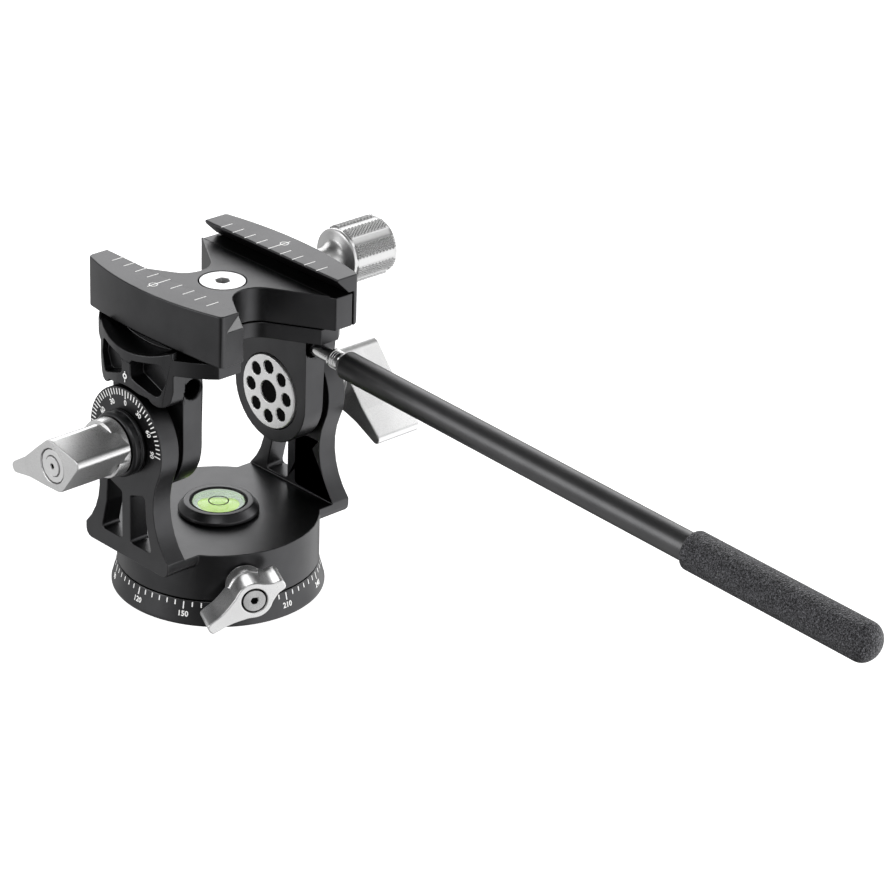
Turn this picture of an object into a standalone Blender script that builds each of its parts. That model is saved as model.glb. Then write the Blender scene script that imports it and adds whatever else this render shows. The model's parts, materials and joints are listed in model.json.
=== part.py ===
"""Two-way video head: a panning base, a yoke, a tilting cradle with a dovetail
plate clamp, two tilt lock levers, a pan lock lever, a bubble level and a handle.

Frame: the origin is the centre of the underside, on the pan axis. +Z is up, the
tilt axis runs along X, and the handle points along -Y.
"""

import bpy
import bmesh
from math import acos, asin, atan2, cos, pi, radians, sin, sqrt, tan
from mathutils import Matrix, Vector

# Clearances and overruns
FIT = 0.0003
OVERRUN = 0.004
EDGE_BREAK = 0.00035
WELD = 0.000001

# Turned and round work
ROUND_STEPS = 48
MEDIUM_STEPS = 32
SMALL_STEPS = 16
HOLE_STEPS = 10
CORNER_STEPS = 3
CONE_STEPS = 6
CORNER_REACH_SHARE = 0.45
SPREAD_LIMIT_SHARE = 0.95

# Shared sizes
TILT_HEIGHT = 0.0525
CRADLE_RADIUS = 0.0330

# Panning base with its degree scale
BASE_RADIUS = 0.0300
BASE_SEAM_RADIUS = 0.02845
BASE_HEIGHT = 0.00705
BASE_EDGE_HEIGHT = 0.0009
BASE_BORE_RADIUS = 0.0090
WASHER_POCKET_RADIUS = 0.0265
WASHER_THICKNESS = 0.00095
TRIPOD_SOCKET_RADIUS = 0.00476
TRIPOD_SOCKET_DEPTH = 0.0120
SPINDLE_RADIUS = 0.0075
SPINDLE_NUT_THREAD_RADIUS = 0.0062
SPINDLE_NUT_RADIUS = 0.0098
SPINDLE_NUT_THICKNESS = 0.0028

# Yoke: a round body with two uprights
SEAM_GAP = 0.00035
BODY_RADIUS = 0.0284
PLATFORM_HEIGHT = 0.0213
UPRIGHT_OUTER = CRADLE_RADIUS - FIT / 3
UPRIGHT_THICKNESS = 0.0061
UPRIGHT_INNER = UPRIGHT_OUTER - UPRIGHT_THICKNESS
HEAD_RADIUS = 0.0154
WAIST_HALF = 0.0117
WAIST_DROP = 0.0160
WAIST_HEIGHT = TILT_HEIGHT - WAIST_DROP
FOOT_HALF = 0.0179
FOOT_DROP = 0.0041
FOOT_BOTTOM = PLATFORM_HEIGHT - FOOT_DROP
FOOT_CORNER = 0.0024
WINDOW_SILL = 0.0010
WINDOW_BOTTOM = PLATFORM_HEIGHT + WINDOW_SILL
WINDOW_RIB_HALF = 0.0018
WINDOW_FOOT = 0.0108
WINDOW_BEND = 0.0086
WINDOW_BEND_DROP = 0.0055
WINDOW_BEND_HEIGHT = WAIST_HEIGHT - WINDOW_BEND_DROP
WINDOW_TOP = 0.0080
WINDOW_CORNER = 0.0010
WINDOW_TOP_RADIUS = 0.0159
COUNTERBORE_RADIUS = 0.0104
COUNTERBORE_DEPTH = 0.0050
COUNTERBORE_FLOOR = PLATFORM_HEIGHT - COUNTERBORE_DEPTH

# Bubble level
LEVEL_RIM_RADIUS = 0.0097
LEVEL_RADIUS = 0.0114
LEVEL_RISE = 0.00315
LEVEL_TOP = PLATFORM_HEIGHT + LEVEL_RISE
LEVEL_BRIM_RISE = 0.0012
LEVEL_BRIM_HEIGHT = PLATFORM_HEIGHT + LEVEL_BRIM_RISE
LEVEL_SPIGOT_DEPTH = 0.0014
VIAL_RADIUS = 0.0078
VIAL_HEIGHT = 0.0034
VIAL_WALL = 0.0006

# Pan lock lever, on a radial axis in the front of the body
PAN_LOCK_BEARING = radians(25.7)
PAN_LOCK_HEIGHT = 0.0130
PAN_LOCK_FACE = 0.0400
PAN_LOCK_BACK = 0.0306
PAN_LOCK_BOSS_RADIUS = 0.0055
PAN_LOCK_BOSS_START = 0.0289
PAN_LOCK_BOSS_END = 0.0372
PAN_LOCK_HUB_RADIUS = 0.0053
PAN_LOCK_LONG_WING = 0.0146
PAN_LOCK_SHORT_WING = 0.0093
PAN_LOCK_WING_TIP = 0.0017
WING_ROOT_SHARE = 2.4
WING_NECK_SHARE = 1.2
PAN_LOCK_TURN = radians(212.0)
PAN_LOCK_SHORT_TURN = radians(27.0)
PAN_STUD_RADIUS = 0.0024
PAN_STUD_END = 0.0365
BRAKE_SHOE_RADIUS = 0.0022
BRAKE_SHOE_LENGTH = 0.0055
PAN_SCREW_RADIUS = 0.0032
PAN_SCREW_HEAD = 0.0016
PAN_SCREW_SOCKET = 0.0011
PAN_SCREW_SOCKET_SHARE = 0.7

# Tilting cradle
FRICTION_WASHER_GAP = 0.0017
ARM_OUTER = UPRIGHT_INNER - FRICTION_WASHER_GAP
ARM_THICKNESS = 0.0067
ARM_INNER = ARM_OUTER - ARM_THICKNESS
ARM_RADIUS = 0.0150
CRADLE_HALF_LENGTH = 0.0252
PLATE_RISE = 0.0235
PLATE_BOTTOM = TILT_HEIGHT + PLATE_RISE
PLATE_THICKNESS = 0.0046
PLATE_TOP = PLATE_BOTTOM + PLATE_THICKNESS
FLANGE_CLEARANCE = 0.0009
FLANGE_HALF = 0.0156
FLANGE_LOBE_RISE = 0.0133
FLANGE_LOBE_HEIGHT = TILT_HEIGHT + FLANGE_LOBE_RISE
FLANGE_LOBE_INNER_SHARE = 0.45
FLANGE_RIM_RISE = 0.0019
FLANGE_RIM_TOP = PLATE_TOP + FLANGE_RIM_RISE
FLANGE_RIM_WIDTH = 0.0056
FLANGE_RIM_INNER = CRADLE_RADIUS - FLANGE_RIM_WIDTH
FLANGE_LOBE_CENTRE = 0.0115
FLANGE_LOBE_RADIUS = 0.0036
FLANGE_DISH_DEPTH = 0.0033
FLANGE_DISH_HALF = 0.0154
FLANGE_DISH_WIDTH = 0.0085
FLANGE_DISH_INNER = CRADLE_RADIUS - FLANGE_DISH_WIDTH
FLANGE_POCKET_DEPTH = 0.0050
FLANGE_POCKET_RISE = 0.0010
FLANGE_POCKET_TOP = PLATE_BOTTOM + FLANGE_POCKET_RISE
FLANGE_POCKET_WEB = 0.0034
FLANGE_POCKET_FOOT_SHARE = 0.8
FLANGE_POCKET_SIDE_SHARE = 0.6
FLANGE_POCKET_CORNER = 0.0014
SOCKET_X = (ARM_INNER + ARM_OUTER) / 2
SOCKET_DROP = 0.0061
SOCKET_HEIGHT = PLATE_BOTTOM - SOCKET_DROP
SOCKET_RADIUS = 0.0027
SOCKET_DEPTH = 0.0090
SOCKET_RIM = 0.0007

# Tilt axles, friction washers, thrust collars and lock levers
AXLE_DISC_RADIUS = 0.0109
AXLE_DISC_PROUD = 0.00056
AXLE_DISC_FACE = ARM_INNER - AXLE_DISC_PROUD
AXLE_DISC_THICKNESS = 0.0020
AXLE_RADIUS = 0.0050
AXLE_BORE_RADIUS = 0.0033
AXLE_BORE_DEPTH = 0.0060
AXLE_REACH = 0.0131
AXLE_END = UPRIGHT_OUTER + AXLE_REACH
AXLE_HOLE_COUNT = 8
AXLE_HOLE_RADIUS = 0.0020
AXLE_HOLE_CIRCLE = 0.0075
AXLE_HOLE_DEPTH = 0.0015
TILT_WASHER_RADIUS = 0.0125
COLLAR_RADIUS = 0.0092
COLLAR_THICKNESS = 0.0038
LEVER_NECK_RADIUS = 0.0082
LEVER_GAP = 0.0071
LEVER_INNER = UPRIGHT_OUTER + LEVER_GAP
LEVER_REACH_LEFT = 0.0249
LEVER_OUTER_LEFT = UPRIGHT_OUTER + LEVER_REACH_LEFT
LEVER_REACH_RIGHT = 0.0227
LEVER_OUTER_RIGHT = UPRIGHT_OUTER + LEVER_REACH_RIGHT
LEVER_SHOULDER = 0.0077
LEVER_SHOULDER_SETBACK = 0.0012
LEVER_BACK = 0.0134
LEVER_BACK_CORNER = 0.0015
LEVER_SHOULDER_ROUND = 0.0038
LEVER_TIP = 0.0014
LEVER_WING_LEFT = 0.0190
LEVER_WING_RIGHT = 0.0262
LEVER_TURN_LEFT = radians(-21.0)
LEVER_TURN_RIGHT = radians(214.0)
LEVER_WAIST_SHARES = ((0.31, 0.67), (0.63, 0.37))
LEVER_RECESS_RADIUS = 0.0050
LEVER_RECESS_DEPTH = 0.0013
LEVER_SCREW_RADIUS = 0.0028
LEVER_SCREW_SHANK = 0.0019
LEVER_SCREW_SOCKET = 0.0009

# Plate clamp
CLAMP_BOTTOM = PLATE_TOP + FIT
CLAMP_THICKNESS = 0.0100
CLAMP_FLOOR = CLAMP_BOTTOM + CLAMP_THICKNESS
CLAMP_LIP_HEIGHT = 0.0049
CLAMP_TOP = CLAMP_FLOOR + CLAMP_LIP_HEIGHT
CLAMP_LIP = 0.01725
CLAMP_LIP_THICKNESS = 0.0009
CLAMP_ROOT = 0.0214
CLAMP_SIDE = 0.0280
CLAMP_SIDE_RADIUS = 0.0890
JAW_SIDE_RADIUS = 0.1260
CLAMP_HALF_LENGTH = 0.0287
CLAMP_BACK_LENGTH = 0.0272
CLAMP_CENTRE = (0.0006, -0.0005)
CLAMP_END_CORNER = 0.0018
JAW_END_CORNER = 0.0010
CLAMP_UNDERCUT_START = 0.0232
CLAMP_UNDERCUT_SLOPE = radians(23.0)
CLAMP_STEP_START = 0.0160
CLAMP_STEP_DEPTH = 0.0004
JAW_SEAM = 0.0229
JAW_TRAVEL = 0.0040
SCALLOP_APEX = 0.0088
SCALLOP_RADIUS = 0.0074
SCALLOP_SLOPE = radians(58.5)
CENTRE_SCREW_RADIUS = 0.00635
CENTRE_SCREW_SHANK = 0.0030
CENTRE_SCREW_RIM = 0.0006
CENTRE_SCREW_SETBACK = 0.0005
CENTRE_SCREW_END = PLATE_BOTTOM + CENTRE_SCREW_SETBACK
CENTRE_SCREW_SOCKET = 0.0022
CENTRE_SCREW_SOCKET_DEPTH = 0.0026
DOWEL_RADIUS = 0.0012
DOWEL_LENGTH = 0.0060
DOWEL_X = 0.0125
GUIDE_PIN_RADIUS = 0.0015
GUIDE_PIN_Y = 0.0110
GUIDE_PIN_START = 0.0140
GUIDE_PIN_END = 0.0262

# Clamp screw and knob
KNOB_DROP = 0.0040
KNOB_HEIGHT = CLAMP_FLOOR - KNOB_DROP
CLAMP_SCREW_RADIUS = 0.0028
CLAMP_SCREW_START = 0.0095
CLAMP_SCREW_END = 0.0545
KNOB_START = 0.0285
KNOB_NECK_RADIUS = 0.0037
KNOB_NECK_END = 0.0380
KNOB_CONE_END = 0.0418
KNOB_RIM_RADIUS = 0.0081
KNOB_BARREL_START = 0.0437
KNOB_RADIUS = 0.0083
KNOB_END = 0.0583
KNOB_CHAMFER = 0.0009

# Handle, raked slightly down from its socket
HANDLE_RAKE = radians(2.3)
STUB_RADIUS = 0.0021
STUB_THREAD_START = -0.0080
STUB_COLLAR_RADIUS = 0.0027
STUB_COLLAR_LENGTH = 0.0046
STUB_COLLAR_START = 0.0072
STUB_END = 0.0225
TUBE_RADIUS = 0.0040
TUBE_BORE_RADIUS = 0.0025
TUBE_START = 0.0129
TUBE_END = 0.1960
GRIP_RADIUS = 0.0054
GRIP_START = 0.1432
GRIP_END = 0.2045
GRIP_LIP = 0.0006

ALONG_Z = Matrix.Identity(4)
ALONG_X = Matrix(((0, 0, 1), (1, 0, 0), (0, 1, 0))).to_4x4()
ALONG_MINUS_Y = Matrix(((1, 0, 0), (0, 0, -1), (0, 1, 0))).to_4x4()
HALF_TURN = Matrix.Rotation(pi, 4, "Z")


# Scene and material helpers

def clear_scene():
    for thing in list(bpy.data.objects):
        bpy.data.objects.remove(thing, do_unlink=True)


def make_collection(name):
    group = bpy.data.collections.new(name)
    bpy.context.scene.collection.children.link(group)
    return group


def make_material(name, colour, roughness, metallic):
    material = bpy.data.materials.new(name)
    material.use_nodes = True
    shader = material.node_tree.nodes["Principled BSDF"]
    shader.inputs["Base Color"].default_value = (*colour, 1.0)
    shader.inputs["Roughness"].default_value = roughness
    shader.inputs["Metallic"].default_value = metallic
    material.diffuse_color = (*colour, 1.0)
    return material


clear_scene()
PARTS = make_collection("two_way_video_head")
CUTTERS = make_collection("cutters")

BLACK = make_material("black_anodised", (0.020, 0.020, 0.021), 0.42, 0.55)
SILVER = make_material("silver_anodised", (0.72, 0.72, 0.73), 0.30, 0.95)
STEEL = make_material("bright_steel", (0.78, 0.78, 0.78), 0.18, 1.0)
BRASS = make_material("brass", (0.72, 0.52, 0.22), 0.35, 1.0)
POLYMER = make_material("bearing_polymer", (0.10, 0.10, 0.10), 0.60, 0.0)
ACRYLIC = make_material("clear_acrylic", (0.85, 0.93, 0.90), 0.05, 0.0)
FLUID = make_material("level_fluid", (0.55, 0.85, 0.10), 0.15, 0.0)
GLOSS = make_material("black_tube", (0.010, 0.010, 0.011), 0.22, 0.30)
RUBBER = make_material("grip_rubber", (0.035, 0.035, 0.037), 0.85, 0.0)


# Outlines, as lists of points in a plane

def arc(centre, radius, start, end, steps):
    """Points on a circle from one angle to another, both ends included."""
    return [(centre[0] + radius * cos(start + (end - start) * i / steps),
             centre[1] + radius * sin(start + (end - start) * i / steps))
            for i in range(steps + 1)]


def rounded(points, radius, steps=CORNER_STEPS, wide_corners=(), wide_radius=None):
    """Round each corner of a polygon, less where a side is short."""
    outline = []
    for i, corner in enumerate(points):
        wanted = wide_radius if i in wide_corners else radius
        here = Vector(corner)
        back = Vector(points[i - 1]) - here
        ahead = Vector(points[(i + 1) % len(points)]) - here
        half = back.angle(ahead) / 2
        longest = min(back.length, ahead.length) * CORNER_REACH_SHARE
        reach = min(wanted / tan(half), longest)
        actual = reach * tan(half)
        centre = here + (back.normalized() + ahead.normalized()).normalized() * (actual / sin(half))
        first = here + back.normalized() * reach - centre
        last = here + ahead.normalized() * reach - centre
        sweep = first.angle_signed(last)
        for k in range(steps + 1):
            turned_arm = first.copy()
            turned_arm.rotate(Matrix.Rotation(-sweep * k / steps, 2))
            outline.append(tuple(centre + turned_arm))
    return outline


def mirrored(half):
    """Close an outline by mirroring its points in the second axis."""
    return half + [(-u, v) for u, v in reversed(half)]


# Solids

def add_object(name, mesh, group, material=None):
    thing = bpy.data.objects.new(name, mesh)
    group.objects.link(thing)
    if material:
        mesh.materials.append(material)
    if group is CUTTERS:
        thing.hide_render = True
        thing.display_type = "WIRE"
    return thing


def add_part(name, mesh, material):
    return add_object(name, mesh, PARTS, material)


def prism_mesh(name, outline, low, high, frame):
    """A flat outline extruded along the frame's third axis."""
    curve = bpy.data.curves.new(name, "CURVE")
    curve.dimensions = "2D"
    curve.fill_mode = "BOTH"
    curve.extrude = (high - low) / 2
    spline = curve.splines.new("POLY")
    spline.points.add(len(outline) - 1)
    for point, (u, v) in zip(spline.points, outline):
        point.co = (u, v, 0, 1)
    spline.use_cyclic_u = True
    carrier = bpy.data.objects.new(name, curve)
    CUTTERS.objects.link(carrier)
    evaluated = carrier.evaluated_get(bpy.context.evaluated_depsgraph_get())
    mesh = bpy.data.meshes.new_from_object(evaluated)
    bpy.data.objects.remove(carrier, do_unlink=True)
    bpy.data.curves.remove(curve)
    shape = bmesh.new()
    shape.from_mesh(mesh)
    bmesh.ops.remove_doubles(shape, verts=shape.verts, dist=WELD)
    bmesh.ops.transform(shape, matrix=frame @ Matrix.Translation((0, 0, (low + high) / 2)),
                        verts=shape.verts)
    bmesh.ops.recalc_face_normals(shape, faces=shape.faces)
    shape.to_mesh(mesh)
    shape.free()
    mesh.name = name
    return mesh


def cylinder_mesh(name, radius, low, high, frame, steps=SMALL_STEPS, end_radius=None):
    """A cylinder or cone along the frame's third axis."""
    mesh = bpy.data.meshes.new(name)
    shape = bmesh.new()
    bmesh.ops.create_cone(shape, cap_ends=True, segments=steps, radius1=radius,
                          radius2=radius if end_radius is None else end_radius,
                          depth=high - low)
    bmesh.ops.transform(shape, matrix=frame @ Matrix.Translation((0, 0, (low + high) / 2)),
                        verts=shape.verts)
    shape.to_mesh(mesh)
    shape.free()
    return mesh


def box_mesh(name, low, high):
    mesh = bpy.data.meshes.new(name)
    shape = bmesh.new()
    bmesh.ops.create_cube(shape, size=1.0)
    size = Vector(high) - Vector(low)
    middle = (Vector(high) + Vector(low)) / 2
    bmesh.ops.scale(shape, vec=size, verts=shape.verts)
    bmesh.ops.translate(shape, vec=middle, verts=shape.verts)
    shape.to_mesh(mesh)
    shape.free()
    return mesh


def turned_object(name, profile, material, frame, steps=MEDIUM_STEPS):
    """A profile of (radius, height) points turned round the frame's third axis.

    The points run down the outer side. A profile that doesn't start and end on
    the axis is closed, so it makes a ring.
    """
    mesh = bpy.data.meshes.new(name)
    on_axis = profile[0][0] == 0 and profile[-1][0] == 0
    count = len(profile)
    edges = [(i, i + 1) for i in range(count - 1)]
    if not on_axis:
        edges.append((count - 1, 0))
    mesh.from_pydata([(radius, 0, height) for radius, height in profile], edges, [])
    thing = add_part(name, mesh, material)
    screw = thing.modifiers.new("turn", "SCREW")
    screw.steps = steps
    screw.render_steps = steps
    screw.use_merge_vertices = True
    screw.merge_threshold = WELD
    screw.use_smooth_shade = False
    evaluated = thing.evaluated_get(bpy.context.evaluated_depsgraph_get())
    solid = bpy.data.meshes.new_from_object(evaluated)
    thing.modifiers.clear()
    solid.transform(frame)
    solid.name = name
    thing.data = solid
    if not solid.materials:
        solid.materials.append(material)
    return thing


def combine(thing, mesh, operation, label):
    """Cut a mesh out of an object, or join or intersect it, with a Boolean."""
    cutter = add_object(f"{thing.name}_{label}", mesh, CUTTERS)
    step = thing.modifiers.new(label, "BOOLEAN")
    step.operation = operation
    step.solver = "EXACT"
    step.object = cutter


def cut(thing, mesh, label):
    combine(thing, mesh, "DIFFERENCE", label)


def join(thing, mesh, label):
    combine(thing, mesh, "UNION", label)


def smooth_rounds(thing):
    thing.data.shade_smooth()
    thing.data.set_sharp_from_angle(angle=radians(32))


def hexagon(radius, turn=0.0):
    return [(radius * cos(turn + pi * i / 3), radius * sin(turn + pi * i / 3)) for i in range(6)]


def set_pivot(thing, pivot):
    """Move an object's origin to a point, with the solid left in place."""
    thing.data.transform(Matrix.Translation(-Vector(pivot)))
    thing.location = pivot


# Frames of the joints and of the raked handle

TILT_PIVOT = Vector((0, 0, TILT_HEIGHT))
CENTRE_SCREW_FRAME = Matrix.Translation((*CLAMP_CENTRE, 0))
TILT_FRAME = Matrix.Translation(TILT_PIVOT) @ ALONG_X
KNOB_FRAME = Matrix.Translation((0, 0, KNOB_HEIGHT)) @ ALONG_X

PAN_LOCK_OUTWARD = Vector((-sin(PAN_LOCK_BEARING), -cos(PAN_LOCK_BEARING), 0))
PAN_LOCK_SIDE = Vector((cos(PAN_LOCK_BEARING), -sin(PAN_LOCK_BEARING), 0))
PAN_LOCK_FRAME = (Matrix.Translation((0, 0, PAN_LOCK_HEIGHT))
                  @ Matrix((PAN_LOCK_SIDE, Vector((0, 0, 1)), PAN_LOCK_OUTWARD)).transposed().to_4x4())

HANDLE_MOUTH = Vector((SOCKET_X, -ARM_RADIUS, SOCKET_HEIGHT))
HANDLE_FRAME = (Matrix.Translation(HANDLE_MOUTH) @ Matrix.Rotation(HANDLE_RAKE, 4, "X") @ ALONG_MINUS_Y)


# Panning base

WASHER_TOP = BASE_HEIGHT + SEAM_GAP - FIT
WASHER_BOTTOM = WASHER_TOP - WASHER_THICKNESS
BODY_BOTTOM = BASE_HEIGHT + SEAM_GAP
SPINDLE_SHOULDER = BASE_BORE_RADIUS - FIT
NUT_BOTTOM = COUNTERBORE_FLOOR + FIT
NUT_TOP = NUT_BOTTOM + SPINDLE_NUT_THICKNESS
WASHER_INNER = SPINDLE_SHOULDER + FIT * 3


def make_base():
    turned_object("base_disc", [
        (BASE_BORE_RADIUS, WASHER_BOTTOM - FIT),
        (WASHER_POCKET_RADIUS, WASHER_BOTTOM - FIT),
        (WASHER_POCKET_RADIUS, BASE_HEIGHT),
        (BASE_SEAM_RADIUS - EDGE_BREAK / 2, BASE_HEIGHT),
        (BASE_SEAM_RADIUS, BASE_HEIGHT - EDGE_BREAK),
        (BASE_RADIUS - EDGE_BREAK / 2, BASE_EDGE_HEIGHT + EDGE_BREAK),
        (BASE_RADIUS, BASE_EDGE_HEIGHT),
        (BASE_RADIUS, EDGE_BREAK),
        (BASE_RADIUS - EDGE_BREAK, 0),
        (BASE_BORE_RADIUS, 0),
    ], BLACK, ALONG_Z, ROUND_STEPS)

    turned_object("pan_thrust_washer", [
        (WASHER_INNER, WASHER_TOP),
        (WASHER_POCKET_RADIUS - FIT, WASHER_TOP),
        (WASHER_POCKET_RADIUS - FIT, WASHER_BOTTOM),
        (WASHER_INNER, WASHER_BOTTOM),
    ], POLYMER, ALONG_Z)

    socket_top = FIT + TRIPOD_SOCKET_DEPTH
    socket_cone = socket_top + TRIPOD_SOCKET_RADIUS / 2
    turned_object("pan_spindle", [
        (0, NUT_TOP),
        (SPINDLE_NUT_THREAD_RADIUS, NUT_TOP),
        (SPINDLE_NUT_THREAD_RADIUS, COUNTERBORE_FLOOR),
        (SPINDLE_RADIUS, COUNTERBORE_FLOOR),
        (SPINDLE_RADIUS, WASHER_BOTTOM),
        (SPINDLE_SHOULDER, WASHER_BOTTOM),
        (SPINDLE_SHOULDER, FIT),
        (TRIPOD_SOCKET_RADIUS, FIT),
        (TRIPOD_SOCKET_RADIUS, socket_top),
        (0, socket_cone),
    ], STEEL, ALONG_Z)

    nut = turned_object("pan_retaining_nut", [
        (SPINDLE_NUT_THREAD_RADIUS + FIT, NUT_TOP),
        (SPINDLE_NUT_RADIUS, NUT_TOP),
        (SPINDLE_NUT_RADIUS, NUT_BOTTOM),
        (SPINDLE_NUT_THREAD_RADIUS + FIT, NUT_BOTTOM),
    ], STEEL, ALONG_Z)
    slot_half = SPINDLE_NUT_THICKNESS / 3
    slot_inner = SPINDLE_NUT_THREAD_RADIUS + FIT * 5
    for name, side in (("slot_front", -1), ("slot_back", 1)):
        near, far = sorted((side * slot_inner, side * (SPINDLE_NUT_RADIUS + OVERRUN)))
        cut(nut, box_mesh(name, (-slot_half, near, NUT_BOTTOM + slot_half),
                          (slot_half, far, NUT_TOP + OVERRUN)), name)


# Yoke

def upright_outline():
    """Side view of an upright: a round head, a waist and a foot, as (y, z)."""
    drop = TILT_HEIGHT - WAIST_HEIGHT
    waist_radius = ((WAIST_HALF ** 2 + drop ** 2 - HEAD_RADIUS ** 2)
                    / (2 * (HEAD_RADIUS - WAIST_HALF)))
    waist_centre = WAIST_HALF + waist_radius
    touch = atan2(-drop, waist_centre)
    foot_angle = acos((waist_centre - FOOT_HALF) / waist_radius)
    half = arc((0, TILT_HEIGHT), HEAD_RADIUS, pi / 2, touch, 14)
    half += arc((waist_centre, WAIST_HEIGHT), waist_radius, pi + touch, pi + foot_angle, 7)[1:]
    half += arc((FOOT_HALF - FOOT_CORNER, FOOT_BOTTOM + FOOT_CORNER), FOOT_CORNER,
                0, -pi / 2, CORNER_STEPS)
    return mirrored(half[1:]) + [half[0]]


def window_outline(side):
    """Side view of one window beside the rib of an upright."""
    top_inner = TILT_HEIGHT - sqrt(WINDOW_TOP_RADIUS ** 2 - WINDOW_RIB_HALF ** 2)
    top_outer = TILT_HEIGHT - sqrt(WINDOW_TOP_RADIUS ** 2 - WINDOW_TOP ** 2)
    corners = [(WINDOW_RIB_HALF, WINDOW_BOTTOM),
               (WINDOW_FOOT, WINDOW_BOTTOM),
               (WINDOW_BEND, WINDOW_BEND_HEIGHT),
               (WINDOW_TOP, top_outer),
               (WINDOW_RIB_HALF, top_inner)]
    return [(side * y, z) for y, z in rounded(corners, WINDOW_CORNER)]


def make_yoke():
    body = add_part("yoke", cylinder_mesh("yoke", BODY_RADIUS, BODY_BOTTOM, PLATFORM_HEIGHT,
                                          ALONG_Z, ROUND_STEPS), BLACK)
    outline = upright_outline()
    foot = [(y, min(z, PLATFORM_HEIGHT)) for y, z in outline if z < PLATFORM_HEIGHT]
    foot.insert(0, (FOOT_HALF, PLATFORM_HEIGHT))
    foot.append((-FOOT_HALF, PLATFORM_HEIGHT))
    join(body, prism_mesh("foot", foot, -UPRIGHT_OUTER + FIT / 3, UPRIGHT_OUTER - FIT / 3, ALONG_X),
         "foot")
    for label, low, high in (("left", -UPRIGHT_OUTER, -UPRIGHT_INNER),
                             ("right", UPRIGHT_INNER, UPRIGHT_OUTER)):
        join(body, prism_mesh(label, outline, low, high, ALONG_X), f"{label}_upright")
    reach = UPRIGHT_OUTER + OVERRUN
    for label, side in (("front_windows", -1), ("back_windows", 1)):
        cut(body, prism_mesh(label, window_outline(side), -reach, reach, ALONG_X), label)
    cut(body, cylinder_mesh("axle_bores", AXLE_RADIUS + FIT, -reach, reach, TILT_FRAME), "axle_bores")
    cut(body, cylinder_mesh("spindle_bore", SPINDLE_RADIUS + FIT, 0, PLATFORM_HEIGHT, ALONG_Z),
        "spindle_bore")
    cut(body, cylinder_mesh("counterbore", COUNTERBORE_RADIUS, COUNTERBORE_FLOOR,
                            PLATFORM_HEIGHT + OVERRUN, ALONG_Z, ROUND_STEPS), "counterbore")
    cut(body, cylinder_mesh("lock_bore", PAN_STUD_RADIUS + FIT, SPINDLE_RADIUS,
                            BODY_RADIUS + OVERRUN, PAN_LOCK_FRAME), "lock_bore")
    smooth_rounds(body)


# Bubble level

def make_level():
    spigot_bottom = PLATFORM_HEIGHT - LEVEL_SPIGOT_DEPTH
    vial_floor = LEVEL_TOP - VIAL_HEIGHT
    turned_object("level_housing", [
        (0, vial_floor),
        (VIAL_RADIUS + FIT, vial_floor),
        (VIAL_RADIUS + FIT, LEVEL_TOP),
        (LEVEL_RIM_RADIUS, LEVEL_TOP),
        (LEVEL_RADIUS, LEVEL_BRIM_HEIGHT),
        (LEVEL_RADIUS, PLATFORM_HEIGHT + FIT),
        (COUNTERBORE_RADIUS - FIT, PLATFORM_HEIGHT + FIT),
        (COUNTERBORE_RADIUS - FIT, spigot_bottom),
        (0, spigot_bottom),
    ], BLACK, ALONG_Z)
    vial_bottom = vial_floor + FIT
    fluid_top = LEVEL_TOP - VIAL_WALL * 2
    turned_object("level_vial", [
        (0, LEVEL_TOP - FIT),
        (VIAL_RADIUS, LEVEL_TOP - FIT),
        (VIAL_RADIUS, vial_bottom),
        (VIAL_RADIUS - VIAL_WALL, vial_bottom),
        (VIAL_RADIUS - VIAL_WALL, fluid_top),
        (0, fluid_top),
    ], ACRYLIC, ALONG_Z)
    turned_object("level_fluid", [
        (0, fluid_top - FIT),
        (VIAL_RADIUS - VIAL_WALL - FIT, fluid_top - FIT),
        (VIAL_RADIUS - VIAL_WALL - FIT, vial_bottom),
        (0, vial_bottom),
    ], FLUID, ALONG_Z)


# Pan lock

def wing_outline(long_wing, short_wing, long_turn, short_turn, hub, tip):
    """A round hub with two unequal wings that narrow to round tips."""
    points = []
    for length, turn in ((long_wing, long_turn), (short_wing, short_turn)):
        along = Vector((cos(turn), sin(turn)))
        across = Vector((-sin(turn), cos(turn)))
        neck = (hub + length - tip) / 2
        spread = asin(min(SPREAD_LIMIT_SHARE, tip * WING_ROOT_SHARE / hub))
        waist = across * tip * WING_NECK_SHARE
        points.append(tuple(along * hub * cos(spread) - across * hub * sin(spread)))
        points.append(tuple(along * neck - waist))
        for k in range(CORNER_STEPS + 1):
            sweep = -pi / 2 + pi * k / CORNER_STEPS
            points.append(tuple(along * (length - tip + tip * cos(sweep)) + across * tip * sin(sweep)))
        points.append(tuple(along * neck + waist))
        points.append(tuple(along * hub * cos(spread) + across * hub * sin(spread)))
        following = short_turn + 2 * pi if turn == long_turn else long_turn
        if following < turn:
            following += 2 * pi
        start = turn + spread
        end = following - spread
        steps = 7
        for k in range(1, steps):
            angle = start + (end - start) * k / steps
            points.append((hub * cos(angle), hub * sin(angle)))
    return points


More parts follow.
